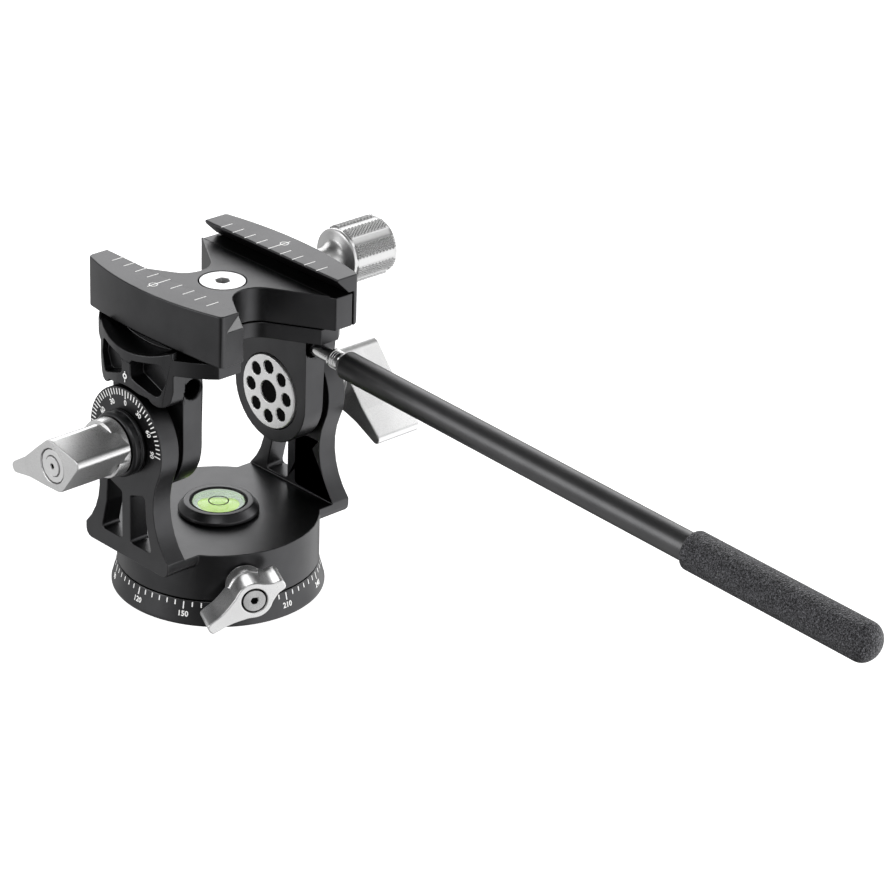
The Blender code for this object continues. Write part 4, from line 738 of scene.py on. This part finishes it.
def make_level(look):
    vial_floor = LEVEL_TOP - 3.4 * MM
    profile = [(0, vial_floor), (8.1 * MM, vial_floor), (8.1 * MM, LEVEL_TOP - 0.25 * MM),
               (8.35 * MM, LEVEL_TOP), (9.5 * MM, LEVEL_TOP), (9.9 * MM, LEVEL_TOP - 0.12 * MM),
               (11.2 * MM, 22.7 * MM), (11.4 * MM, 22.4 * MM), (11.4 * MM, PLATFORM + 0.3 * MM),
               (10.1 * MM, PLATFORM + 0.3 * MM), (10.1 * MM, PLATFORM - 1.4 * MM),
               (0, PLATFORM - 1.4 * MM)]
    housing = shown_object("level_cup", turned_mesh("level_cup", profile, ALONG_Z, 96), MATERIALS["black"])
    finished(edge_work(housing, 0.1 * MM), body_of("level_housing"), ["level_housing"])

    dome = [(7.8 * MM * cos(a), LEVEL_TOP - 0.75 * MM + 0.45 * MM * sin(a))
            for a in [pi / 2 * (8 - k) / 8 for k in range(1, 9)]]
    vial_profile = [(0, LEVEL_TOP - 0.3 * MM)] + dome + [
        (7.8 * MM, vial_floor + 0.3 * MM), (7.2 * MM, vial_floor + 0.3 * MM),
        (7.2 * MM, LEVEL_TOP - 1.2 * MM), (0, LEVEL_TOP - 1.2 * MM)]
    vial = shown_object("level_window", turned_mesh("level_window", vial_profile, ALONG_Z, 72),
                        MATERIALS["vial"])
    finished(edge_work(vial, 0), body_of("level_vial"), ["level_vial"])

    fluid_profile = [(0, LEVEL_TOP - 1.5 * MM), (5.7 * MM, LEVEL_TOP - 1.5 * MM),
                     (6.1 * MM, LEVEL_TOP - 1.8 * MM), (6.9 * MM, vial_floor + 0.3 * MM),
                     (0, vial_floor + 0.3 * MM)]
    fluid = shown_object("level_fluid_pool", turned_mesh("level_fluid_pool", fluid_profile, ALONG_Z, 72),
                         MATERIALS["fluid"])
    finished(edge_work(fluid, 0), body_of("level_fluid"), ["level_fluid"])

    # The seat ring and the liner are white and also glow: painted light under the glass.
    seat = shown_object("level_seat_ring", ring_mesh(5.9 * MM, 7.1 * MM, 0.24 * MM,
                        Matrix.Translation((0, 0, LEVEL_TOP - 1.45 * MM)), 72), MATERIALS["pale"])
    finished(edge_work(seat, 0), body_of("level_vial"))
    liner_foot = vial_floor + 0.3 * MM
    liner_height = LEVEL_TOP - 0.35 * MM - liner_foot
    liner = shown_object("level_liner", ring_mesh(7.86 * MM, 8.05 * MM, liner_height,
                         Matrix.Translation((0, 0, liner_foot + liner_height / 2)), 72), MATERIALS["pale"])
    finished(liner, body_of("level_housing"))
    line_height = Matrix.Translation((0, 0, LEVEL_TOP - 0.27 * MM))
    circle = shown_object("level_circle", ring_mesh(2.6 * MM, 2.95 * MM, 0.05 * MM, line_height, 64),
                          MATERIALS["ink_and_shade"])
    finished(circle, body_of("level_vial"))
    edge = shown_object("level_edge", ring_mesh(7.45 * MM, 8.12 * MM, 0.05 * MM, line_height, 96),
                        MATERIALS["ink_and_shade"])
    finished(edge, body_of("level_housing"))
    bubble_profile = [(1.9 * MM * sin(a), LEVEL_TOP - 1.45 * MM + 0.16 * MM * cos(a))
                      for a in [pi * k / 12 for k in range(1, 12)]]
    bubble_profile = [(0, LEVEL_TOP - 1.29 * MM)] + bubble_profile + [(0, LEVEL_TOP - 1.61 * MM)]
    bubble = shown_object("level_bubble", turned_mesh("level_bubble", bubble_profile, ALONG_Z, 40),
                          MATERIALS["vial"])
    finished(edge_work(bubble, 0), body_of("level_fluid"))


# Copies of the milled pieces, with their edges broken

def milled_piece(name, node, material, width):
    piece = shown_object(name, plain_copy(node), MATERIALS[material])
    for point in piece.data.vertices:
        if point.co.z > CLAMP_TOP - MARK_PROUD:
            point.co.z -= MARK_PROUD
    return finished(edge_work(piece, width), body_of(node), [node])


def socket_shade(name, places, body):
    """Painted shade on the floors of sockets and holes: flat dark discs, given as (radius, height, place, sides)."""
    meshes = [turned_mesh("shade", [(0, height), (radius, height), (radius, height - 0.1 * MM),
                                    (0, height - 0.1 * MM)], place, sides)
              for radius, height, place, sides in places]
    finished(shown_object(name, joined_mesh(name, meshes), MATERIALS["ink_and_shade"]), body)


PAN_LOCK_BEARING = radians(25.7)
PAN_LOCK_FRAME = (Matrix.Translation((0, 0, 13.0 * MM))
                  @ Matrix((Vector((cos(PAN_LOCK_BEARING), -sin(PAN_LOCK_BEARING), 0)), Vector((0, 0, 1)),
                            Vector((-sin(PAN_LOCK_BEARING), -cos(PAN_LOCK_BEARING), 0)))).transposed().to_4x4())


def smoothed(points, times):
    """Cut the corners of a closed outline again and again, so that it runs smooth."""
    for _ in range(times):
        following = points[1:] + points[:1]
        points = [(one[0] * (1 - share) + two[0] * share, one[1] * (1 - share) + two[1] * share)
                  for one, two in zip(points, following) for share in (0.25, 0.75)]
    return points


def pan_lever_outline():
    """A round hub with a long and a short wing that narrow and end round."""
    outline = []
    hub = 5.3
    for length, tip, neck, root, turn, following in ((14.9, 1.75, 1.9, 3.6, 212.0, 387.0),
                                                     (9.7, 1.65, 1.75, 3.2, 27.0, 212.0)):
        middle = (hub + length - tip) / 2
        shape = [(hub * 0.79, -root), (middle, -neck), (length - tip, -tip),
                 (length - tip * 0.2, -tip * 0.8), (length, 0)]
        shape += [(u, -v) for u, v in reversed(shape[:-1])]
        angle = radians(turn)
        outline += [(u * cos(angle) - v * sin(angle), u * sin(angle) + v * cos(angle)) for u, v in shape]
        start, end = angle + radians(52.0), radians(following - 52.0)
        outline += [(hub * cos(start + (end - start) * k / 4), hub * sin(start + (end - start) * k / 4))
                    for k in range(5)]
    return [(u * MM, v * MM) for u, v in smoothed(outline, 3)]


def make_pan_lock(look):
    outline = pan_lever_outline()
    back, face = 30.6 * MM, 40.0 * MM
    lever = shown_object("pan_lever", prism_mesh("pan_lever", outline, back, face, PAN_LOCK_FRAME),
                         MATERIALS["silver"])
    boss = turned_mesh("boss", [(0, 28.9 * MM), (5.2 * MM, 28.9 * MM), (5.5 * MM, 29.2 * MM),
                                (5.5 * MM, 33.0 * MM), (0, 33.0 * MM)], PAN_LOCK_FRAME, 64)
    joiner = shown_object("pan_lever_boss", boss)
    union = lever.modifiers.new("boss", "BOOLEAN")
    union.operation = "UNION"
    union.solver = "EXACT"
    union.object = joiner
    bake_modifiers(lever)
    bpy.data.objects.remove(joiner, do_unlink=True)
    cut(lever, turned_mesh("hole", [(0, 28.0 * MM), (2.7 * MM, 28.0 * MM), (2.7 * MM, 36.8 * MM),
                                    (0, 36.8 * MM)], PAN_LOCK_FRAME, 32))
    cut(lever, turned_mesh("recess", [(0, 38.0 * MM), (3.6 * MM, 38.0 * MM), (3.6 * MM, 42.0 * MM),
                                      (0, 42.0 * MM)], PAN_LOCK_FRAME, 48))
    finished(edge_work(lever, look.edge_width * 1.2, 3), body_of("pan_lock_lever"), ["pan_lock_lever"])
    milled_piece("pan_lever_screw", "pan_lock_screw", "bolt", look.edge_width / 2)
    # Painted shade: dark discs in the screw's hex socket and in the round recess of the pan lever.
    socket_shade("pan_lever_socket", [(1.1 * MM, 39.0 * MM, PAN_LOCK_FRAME, 6),
                                      (3.5 * MM, 38.2 * MM, PAN_LOCK_FRAME, 32)], body_of("pan_lock_lever"))


def make_cradle(look):
    milled_piece("cradle_frame", "cradle", "black", look.edge_width)
    face = HALF_TURN @ Matrix.Translation((0, 0, TILT_HEIGHT)) @ ALONG_X
    face = face @ Matrix.Translation((0, 0, FLANGE_FACE))
    depth = look.mark_depth
    width = look.mark_width
    centre = Matrix.Translation((0, 19.3 * MM, 0))
    meshes = [ring_mesh(0.42 * MM, 0.85 * MM, depth, face @ centre, 12),
              strip_mesh((0, 17.5 * MM), (0, 18.5 * MM), width * 0.8, depth, face),
              strip_mesh((0, 20.1 * MM), (0, 20.7 * MM), width * 0.8, depth, face)]
    index = shown_object("tilt_index", joined_mesh("tilt_index", meshes), MATERIALS["paint"])
    finished(index, body_of("cradle"))


def make_axles(look):
    for hand in ("left", "right"):
        milled_piece(f"axle_{hand}", f"tilt_axle_{hand}", "disc", look.edge_width)
        side = LEFT_TILT_FRAME if hand == "left" else TILT_FRAME
        face = min(abs(point.co.x) for point in plain_copy(f"tilt_axle_{hand}").vertices
                   if hypot(point.co.y, point.co.z - TILT_HEIGHT) > 9.0 * MM)
        # Painted shade: dark discs at the floors of the axle's eight holes and of its centre bore.
        holes = [(1.94 * MM, face + 0.45 * MM,
                  side @ Matrix.Translation((7.5 * MM * cos(turn), 7.5 * MM * sin(turn), 0)), 20)
                 for turn in [FULL_TURN * k / 8 for k in range(8)]]
        socket_shade(f"axle_holes_{hand}", holes + [(3.22 * MM, face + 0.6 * MM, side, 32)],
                     body_of(f"tilt_axle_{hand}"))
        inner = UPRIGHT_OUTER + 0.3 * MM
        outer = inner + 3.8 * MM
        profile = [(5.3 * MM, outer), (8.6 * MM, outer), (9.2 * MM, outer - 0.7 * MM),
                   (9.2 * MM, inner + 1.6 * MM), (8.9 * MM, inner + 1.4 * MM), (8.9 * MM, inner + 1.1 * MM),
                   (9.2 * MM, inner + 0.9 * MM), (9.2 * MM, inner), (5.3 * MM, inner)]
        collar = shown_object(f"collar_{hand}", turned_mesh("collar", profile, side, 96), MATERIALS["black"])
        finished(edge_work(collar, 0.1 * MM), body_of(f"tilt_collar_{hand}"), [f"tilt_collar_{hand}"])


def make_levers(look):
    for hand in ("left", "right"):
        milled_piece(f"lever_{hand}", f"tilt_lever_{hand}", "silver",
                     look.edge_width * 1.2)
        milled_piece(f"lever_ring_{hand}", f"lever_washer_{hand}", "screw", look.edge_width / 3)
        milled_piece(f"lever_bolt_{hand}", f"lever_screw_{hand}", "screw", look.edge_width / 3)
        side, face = (LEFT_TILT_FRAME, 57.8 * MM) if hand == "left" else (TILT_FRAME, 55.6 * MM)
        # Painted shade: a dark hex disc in the lever screw's socket.
        socket_shade(f"lever_socket_{hand}", [(0.88 * MM, face - 0.45 * MM, side, 6)],
                     body_of(f"lever_screw_{hand}"))


def clamp_marks(name, side, body, look):
    """The millimetre scale on one side of the clamp, with a circle at its centre mark."""
    depth = look.mark_depth
    width = look.mark_width
    top = Matrix.Translation((0, 0, CLAMP_TOP - MARK_PROUD))
    lip = side * CLAMP_LIP
    meshes = [marks_mesh(top, Count=9, Row_Step=(0.0, 5 * MM, 0.0), Start=(lip, -20 * MM, 0.0),
                         Mark_Size=(side * 4.0 * MM, width, depth), Long_Every=1, Long_Share=1.0)]
    ring_centre = (side * 23.1 * MM, 0, 0)
    meshes.append(ring_mesh(0.95 * MM, 0.95 * MM + width, depth, top @ Matrix.Translation(ring_centre), 32))
    meshes.append(strip_mesh((side * 21.0 * MM, 0), (side * 25.2 * MM, 0), width, depth, top))
    scale = shown_object(name, joined_mesh(name, meshes), MATERIALS["paint"])
    finished(scale, body)


def make_clamp(look):
    milled_piece("clamp_plate", "clamp_body", "black", look.edge_width * 1.3)
    milled_piece("clamp_slider", "clamp_jaw", "black", look.edge_width * 1.3)
    clamp_marks("clamp_scale", -1, body_of("clamp_body"), look)
    clamp_marks("slider_scale", 1, body_of("clamp_jaw"), look)
    milled_piece("centre_bolt", "clamp_centre_screw", "screw", look.edge_width / 2)
    # Painted shade: a dark hex disc in the centre screw's socket.
    socket_shade("centre_socket", [(2.15 * MM, 90.9 * MM - 1.6 * MM,
                                    Matrix.Translation((0.6 * MM, -0.5 * MM, 0)), 6)],
                 body_of("clamp_centre_screw"))


# Knob

def fluted_barrel(name, radius, start, end, flutes, flute_share, depth, chamfer):
    """A barrel with hollow flutes along it, between chamfered ends."""
    steps = flutes * 24
    rings = [(start, -chamfer / 2, 1.0), (start + chamfer / 2, 0.0, 1.0), (end - chamfer * 2.4, 0.0, 1.0),
             (end - chamfer, 0.0, 0.15), (end, -chamfer, 0.0)]
    shape = bmesh.new()
    made = []
    for height, shrink, share in rings:
        ring = []
        for k in range(steps):
            turn = FULL_TURN * k / steps
            phase = (k / steps * flutes) % 1.0
            off = min(phase, 1.0 - phase) / flute_share
            scoop = share * depth * sqrt(1.0 - off * off) if off < 1.0 else 0.0
            r = radius + shrink - scoop
            ring.append(shape.verts.new((r * cos(turn), r * sin(turn), height)))
        made.append(ring)
    for one, two in zip(made, made[1:]):
        for k in range(steps):
            after = (k + 1) % steps
            shape.faces.new([one[k], one[after], two[after], two[k]])
    shape.faces.new(made[0])
    shape.faces.new(made[-1])
    bmesh.ops.recalc_face_normals(shape, faces=shape.faces)
    mesh = bpy.data.meshes.new(name)
    shape.to_mesh(mesh)
    shape.free()
    return mesh


def make_knob(look):
    flutes = 8
    flute_share = 0.20
    start = 43.7 * MM
    end = 58.3 * MM
    core = 8.12 * MM
    barrel = fluted_barrel("barrel", core, start, end, flutes, flute_share, 0.42 * MM, 0.45 * MM)
    bore = 3.1 * MM
    cone = [(3.7 * MM + 3.5 * MM * (1 - sqrt(max(0.0, 1 - s * s))), 37.6 * MM + 4.3 * MM * s)
            for s in [k / 8 for k in range(9)]]
    head = [(bore, 28.5 * MM), (3.7 * MM, 28.5 * MM)] + cone + [
        (8.0 * MM, 42.15 * MM), (8.1 * MM, 42.5 * MM), (8.1 * MM, 43.1 * MM), (7.7 * MM, 43.3 * MM),
        (7.7 * MM, 44.0 * MM), (bore, 44.0 * MM)]
    neck = turned_mesh("neck", head, ALONG_Z, 96)
    studs = bpy.data.node_groups.get("diamond_knurl") or make_knurl_tree()
    knurl = grown_mesh("knurl", studs, Rows=22, Around=64, Radius=core + 0.06 * MM, First_Row=start + 0.5 * MM,
                       Row_Step=0.62 * MM, Flutes=flutes, Flute_Share=flute_share + 0.03,
                       Stud_Size=(0.56 * MM, 0.38 * MM, 0.44 * MM), Seed=1, Material=MATERIALS["knob"])
    knob = shown_object("knob_head", joined_mesh("knob_head", [neck, barrel]), MATERIALS["knob"])
    knob.data.transform(KNOB_FRAME)
    finished(edge_work(knob, 0.12 * MM), body_of("clamp_knob"), ["clamp_knob"])
    grip = shown_object("knob_knurl", joined_mesh("knob_knurl", [knurl]), MATERIALS["knob"])
    grip.data.transform(KNOB_FRAME)
    finished(grip, body_of("clamp_knob"))


# Handle

def make_handle(look):
    collar = 2.7 * MM
    ring = []
    for k in range(5):
        at = 7.9 * MM + k * 0.8 * MM
        ring += [(collar, at + 0.55 * MM), (collar - 0.18 * MM, at + 0.62 * MM), (collar - 0.18 * MM, at + 0.72 * MM)]
    stub = [(0, -8.0 * MM), (2.1 * MM, -8.0 * MM), (2.1 * MM, 7.2 * MM), (2.35 * MM, 7.2 * MM),
            (collar, 7.55 * MM)] + ring[:9] + [(collar, 11.45 * MM), (2.35 * MM, 11.8 * MM),
                                              (2.2 * MM, 11.9 * MM), (2.2 * MM, 22.5 * MM), (0, 22.5 * MM)]
    rod = shown_object("handle_rod_end", turned_mesh("handle_rod_end", stub, HANDLE_FRAME, 48),
                       MATERIALS["steel"])
    finished(edge_work(rod, 0.05 * MM), body_of("handle_stub"), ["handle_stub"])

    lip = [(TUBE_RADIUS - 0.8 * MM + 0.8 * MM * sin(a), TUBE_START + 0.8 * MM - 0.8 * MM * cos(a))
           for a in [pi / 2 * k / 6 for k in range(7)]]
    tube = [(2.5 * MM, TUBE_START)] + lip + [(TUBE_RADIUS, TUBE_END), (2.5 * MM, TUBE_END)]
    pipe = shown_object("handle_pipe", turned_mesh("handle_pipe", tube, HANDLE_FRAME, 64), MATERIALS["tube"])
    finished(edge_work(pipe, 0), body_of("handle_tube"), ["handle_tube"])

    dome_radius = GRIP_RADIUS
    dome = [(dome_radius * sin(a), GRIP_END - dome_radius * 0.8 + dome_radius * 0.8 * cos(a))
            for a in [pi / 2 * k / 12 for k in range(13)]]
    rim = [(GRIP_RADIUS - 0.9 * MM + 0.9 * MM * cos(a), GRIP_START + 0.9 * MM - 0.9 * MM * sin(a))
           for a in [pi / 2 * k / 6 for k in range(7)]]
    bore = TUBE_RADIUS + 0.15 * MM
    sleeve = [(0, dome[0][1])] + dome[1:] + rim + [(bore, GRIP_START), (bore, TUBE_END + 0.3 * MM),
                                                  (0, TUBE_END + 0.3 * MM)]
    grip = shown_object("handle_sleeve", turned_mesh("handle_sleeve", sleeve, HANDLE_FRAME, 96),
                        MATERIALS["rubber"])
    finished(edge_work(grip, 0), body_of("handle_grip"), ["handle_grip"])


INNER_NODES = {"pan_thrust_washer": "polymer", "pan_spindle": "steel", "pan_retaining_nut": "steel",
               "pan_brake_shoe": "brass", "pan_lock_stud": "steel", "tilt_washer_left": "polymer",
               "tilt_washer_right": "polymer", "clamp_dowel_left": "steel", "clamp_dowel_right": "steel",
               "jaw_guide_pin_front": "steel", "jaw_guide_pin_back": "steel", "clamp_screw": "steel"}


def dress_inner_nodes():
    """The pieces whose plain solids are right keep them, with a finer material."""
    for node, material in INNER_NODES.items():
        holder = frame["nodes"][node].material_slots[0]
        holder.link = "OBJECT"
        holder.material = MATERIALS[material]


# Stage

CAMERA_AZIMUTH = radians(-43.93)
CAMERA_ELEVATION = radians(25.38)
CAMERA_ROLL = radians(1.99)
CAMERA_DISTANCE = 1.0
CAMERA_FOCUS = 3618.24
CAMERA_SHIFT = (-224.976, 27.200)
CAMERA_TARGET = Vector((0, 0, 0.05))
PICTURE_SIZE = 888
SENSOR = 36.0


def place_camera():
    az, el, roll = CAMERA_AZIMUTH, CAMERA_ELEVATION, CAMERA_ROLL
    back = Vector((sin(az) * cos(el), -cos(az) * cos(el), sin(el)))
    right = Vector((cos(az), sin(az), 0))
    up = back.cross(right)
    side = right * cos(roll) + up * sin(roll)
    top = up * cos(roll) - right * sin(roll)
    spot = (CAMERA_TARGET + back * CAMERA_DISTANCE
            - side * CAMERA_SHIFT[0] * CAMERA_DISTANCE / CAMERA_FOCUS
            - top * CAMERA_SHIFT[1] * CAMERA_DISTANCE / CAMERA_FOCUS)
    camera = bpy.data.objects.new("camera", bpy.data.cameras.new("camera"))
    bpy.context.scene.collection.objects.link(camera)
    turn = Matrix((side, top, back)).transposed()
    camera.matrix_world = Matrix.Translation(spot) @ turn.to_4x4()
    camera.data.sensor_width = SENSOR
    camera.data.lens = CAMERA_FOCUS * SENSOR / PICTURE_SIZE
    camera.data.clip_start = 0.05
    camera.data.clip_end = 50.0
    bpy.context.scene.camera = camera


LAMPS = (
    # name, place, width, height, watts
    ("sky_back", (0.75, 0.85, 0.62), 1.5, 0.8, 9.5),
    ("left_soft", (-1.05, 0.45, 0.45), 0.7, 0.7, 4.5),
    ("camera_left", (-0.75, -0.70, 1.00), 0.6, 0.6, 3.0),
    ("right_rim", (1.00, -0.45, 0.55), 0.35, 0.8, 2.0),
)


LEFT_PANEL = 0.80
RIGHT_PANEL = 1.9
GAP_GLOW = 0.05


def place_lamps():
    for name, place, width, height, watts in LAMPS:
        light = bpy.data.lights.new(name, "AREA")
        light.shape = "RECTANGLE"
        light.size = width
        light.size_y = height
        light.energy = watts
        lamp = bpy.data.objects.new(name, light)
        bpy.context.scene.collection.objects.link(lamp)
        lamp.location = place
        aim = Vector((0, 0, 0.05)) - Vector(place)
        lamp.rotation_mode = "QUATERNION"
        lamp.rotation_quaternion = aim.to_track_quat("-Z", "Y")


def make_world():
    """White behind the object; for reflections, soft panels at both sides and dark in between."""
    world = bpy.data.worlds.new("studio")
    bpy.context.scene.world = world
    world.use_nodes = True
    tree = world.node_tree
    tree.nodes.clear()
    path = tree.nodes.new("ShaderNodeLightPath")
    white = tree.nodes.new("ShaderNodeBackground")
    white.inputs["Color"].default_value = (1.0, 1.0, 1.0, 1.0)
    panels = tree.nodes.new("ShaderNodeBackground")
    aside = tree.nodes.new("ShaderNodeVectorMath")
    aside.operation = "DOT_PRODUCT"
    aside.inputs[1].default_value = (cos(CAMERA_AZIMUTH), sin(CAMERA_AZIMUTH), 0.0)
    place = tree.nodes.new("ShaderNodeTexCoord").outputs["Object"]
    tree.links.new(place, aside.inputs[0])
    right = range_node(tree, aside.outputs["Value"], 0.12, 0.62, 0.0, RIGHT_PANEL)
    left = range_node(tree, aside.outputs["Value"], -0.12, -0.70, 0.0, LEFT_PANEL)
    both = tree.nodes.new("ShaderNodeMath")
    both.operation = "ADD"
    tree.links.new(right, both.inputs[0])
    tree.links.new(left, both.inputs[1])
    split = tree.nodes.new("ShaderNodeSeparateXYZ")
    tree.links.new(place, split.inputs[0])
    low = range_node(tree, split.outputs["Z"], 0.10, 0.55, 1.0, 0.25)
    shaded = tree.nodes.new("ShaderNodeMath")
    shaded.operation = "MULTIPLY_ADD"
    shaded.inputs[2].default_value = GAP_GLOW
    tree.links.new(both.outputs[0], shaded.inputs[0])
    tree.links.new(low, shaded.inputs[1])
    tree.links.new(shaded.outputs[0], panels.inputs["Strength"])
    mix = tree.nodes.new("ShaderNodeMixShader")
    out = tree.nodes.new("ShaderNodeOutputWorld")
    tree.links.new(path.outputs["Is Camera Ray"], mix.inputs["Fac"])
    tree.links.new(panels.outputs[0], mix.inputs[1])
    tree.links.new(white.outputs[0], mix.inputs[2])
    tree.links.new(mix.outputs[0], out.inputs["Surface"])


def make_floor():
    shape = bmesh.new()
    bmesh.ops.create_grid(shape, x_segments=8, y_segments=8, size=6.0)
    mesh = bpy.data.meshes.new("floor")
    shape.to_mesh(mesh)
    shape.free()
    material = bpy.data.materials.new("studio_floor")
    material.use_nodes = True
    tree = material.node_tree
    tree.nodes.clear()
    path = tree.nodes.new("ShaderNodeLightPath")
    matt = tree.nodes.new("ShaderNodeBsdfDiffuse")
    matt.inputs["Color"].default_value = (0.8, 0.8, 0.8, 1.0)
    seen = tree.nodes.new("ShaderNodeEmission")
    seen.inputs["Strength"].default_value = 0.9
    both = tree.nodes.new("ShaderNodeAddShader")
    tree.links.new(matt.outputs[0], both.inputs[0])
    tree.links.new(seen.outputs[0], both.inputs[1])
    glow = tree.nodes.new("ShaderNodeBsdfTransparent")
    mix = tree.nodes.new("ShaderNodeMixShader")
    out = tree.nodes.new("ShaderNodeOutputMaterial")
    tree.links.new(path.outputs["Is Camera Ray"], mix.inputs["Fac"])
    tree.links.new(glow.outputs[0], mix.inputs[1])
    tree.links.new(both.outputs[0], mix.inputs[2])
    tree.links.new(mix.outputs[0], out.inputs["Surface"])
    floor = shown_object("studio_floor", mesh, material)


# Settings, steps and panel

class HEAD_PG_look(bpy.types.PropertyGroup):
    """Sizes and colours of the video head."""

    black_colour: bpy.props.FloatVectorProperty(
        name="Black", description="Colour of the black anodised metal", subtype="COLOR", size=3,
        min=0.0, max=1.0, default=(0.058, 0.058, 0.060))
    silver_colour: bpy.props.FloatVectorProperty(
        name="Silver", description="Colour of the silver anodised metal", subtype="COLOR", size=3,
        min=0.0, max=1.0, default=(0.74, 0.74, 0.74))
    paint_colour: bpy.props.FloatVectorProperty(
        name="Scale paint", description="Colour of the scales and numbers", subtype="COLOR", size=3,
        min=0.0, max=1.0, default=(0.88, 0.88, 0.87))
    fluid_colour: bpy.props.FloatVectorProperty(
        name="Level fluid", description="Colour of the fluid in the level", subtype="COLOR", size=3,
        min=0.0, max=1.0, default=(0.60, 0.83, 0.22))
    grip_colour: bpy.props.FloatVectorProperty(
        name="Grip", description="Ground colour of the rubber grip", subtype="COLOR", size=3,
        min=0.0, max=1.0, default=(0.012, 0.012, 0.013))
    edge_width: bpy.props.FloatProperty(
        name="Edge break", description="Width of the rounds on machined edges", unit="LENGTH",
        min=0.0, max=0.001, precision=5, default=0.00028)
    mark_width: bpy.props.FloatProperty(
        name="Mark width", description="Width of the lines of the scales", unit="LENGTH",
        min=0.00005, max=0.001, precision=5, default=0.00034)
    mark_depth: bpy.props.FloatProperty(
        name="Paint depth", description="Depth of the painted lines and numbers", unit="LENGTH",
        min=0.00001, max=0.0002, precision=5, default=0.00005)


class HEAD_OT_materials(bpy.types.Operator):
    """Makes the surfaces of the metals, rubber, fluid and paint"""
    bl_idname = "head.materials"
    bl_label = "Materials"

    def execute(self, context):
        MATERIALS.update(make_materials(context.scene.head_look))
        dress_inner_nodes()
        return {"FINISHED"}


class HEAD_OT_base(bpy.types.Operator):
    """Makes the panning base with its degree scale"""
    bl_idname = "head.base"
    bl_label = "Base"

    def execute(self, context):
        make_base(context.scene.head_look)
        return {"FINISHED"}


class HEAD_OT_yoke(bpy.types.Operator):
    """Makes the yoke with its tilt dial"""
    bl_idname = "head.yoke"
    bl_label = "Yoke"

    def execute(self, context):
        make_yoke(context.scene.head_look)
        return {"FINISHED"}


class HEAD_OT_level(bpy.types.Operator):
    """Makes the bubble level"""
    bl_idname = "head.level"
    bl_label = "Bubble level"

    def execute(self, context):
        make_level(context.scene.head_look)
        return {"FINISHED"}


class HEAD_OT_pan_lock(bpy.types.Operator):
    """Makes the pan lock lever and its screw"""
    bl_idname = "head.pan_lock"
    bl_label = "Pan lock"

    def execute(self, context):
        make_pan_lock(context.scene.head_look)
        return {"FINISHED"}


class HEAD_OT_cradle(bpy.types.Operator):
    """Makes the tilting cradle with its index mark"""
    bl_idname = "head.cradle"
    bl_label = "Cradle"

    def execute(self, context):
        make_cradle(context.scene.head_look)
        return {"FINISHED"}


class HEAD_OT_axles(bpy.types.Operator):
    """Makes the tilt axles and their collars"""
    bl_idname = "head.axles"
    bl_label = "Axles and collars"

    def execute(self, context):
        make_axles(context.scene.head_look)
        return {"FINISHED"}


class HEAD_OT_levers(bpy.types.Operator):
    """Makes the two tilt lock levers with their washers and screws"""
    bl_idname = "head.levers"
    bl_label = "Tilt levers"

    def execute(self, context):
        make_levers(context.scene.head_look)
        return {"FINISHED"}


class HEAD_OT_clamp(bpy.types.Operator):
    """Makes the plate clamp, its jaw, scales and centre screw"""
    bl_idname = "head.clamp"
    bl_label = "Plate clamp"

    def execute(self, context):
        make_clamp(context.scene.head_look)
        return {"FINISHED"}


class HEAD_OT_knob(bpy.types.Operator):
    """Makes the fluted and knurled clamp knob"""
    bl_idname = "head.knob"
    bl_label = "Clamp knob"

    def execute(self, context):
        make_knob(context.scene.head_look)
        return {"FINISHED"}


class HEAD_OT_handle(bpy.types.Operator):
    """Makes the handle, its rod end and its rubber grip"""
    bl_idname = "head.handle"
    bl_label = "Handle"

    def execute(self, context):
        make_handle(context.scene.head_look)
        return {"FINISHED"}


class HEAD_OT_stage(bpy.types.Operator):
    """Sets the camera, the lights, the floor and the background"""
    bl_idname = "head.stage"
    bl_label = "Stage"

    def execute(self, context):
        context.scene.view_settings.view_transform = "Standard"
        place_camera()
        place_lamps()
        make_world()
        make_floor()
        return {"FINISHED"}


STEPS = (HEAD_OT_materials, HEAD_OT_base, HEAD_OT_yoke, HEAD_OT_level, HEAD_OT_pan_lock, HEAD_OT_cradle,
         HEAD_OT_axles, HEAD_OT_levers, HEAD_OT_clamp, HEAD_OT_knob, HEAD_OT_handle, HEAD_OT_stage)


class HEAD_PT_panel(bpy.types.Panel):
    """Lists the settings and the steps of the video head."""
    bl_idname = "HEAD_PT_panel"
    bl_label = "Video Head"
    bl_space_type = "VIEW_3D"
    bl_region_type = "UI"
    bl_category = "Video Head"

    def draw(self, context):
        for name in HEAD_PG_look.__annotations__:
            self.layout.prop(context.scene.head_look, name)
        for step in STEPS:
            self.layout.operator(step.bl_idname)


CLASSES = (HEAD_PG_look, *STEPS, HEAD_PT_panel)


def register():
    for kind in CLASSES:
        bpy.utils.register_class(kind)
    bpy.types.Scene.head_look = bpy.props.PointerProperty(type=HEAD_PG_look)


def unregister():
    del bpy.types.Scene.head_look
    for kind in reversed(CLASSES):
        bpy.utils.unregister_class(kind)


def main():
    register()
    bpy.ops.head.materials()
    bpy.ops.head.base()
    bpy.ops.head.yoke()
    bpy.ops.head.level()
    bpy.ops.head.pan_lock()
    bpy.ops.head.cradle()
    bpy.ops.head.axles()
    bpy.ops.head.levers()
    bpy.ops.head.clamp()
    bpy.ops.head.knob()
    bpy.ops.head.handle()
    bpy.ops.head.stage()


if __name__ == "__main__":
    main()
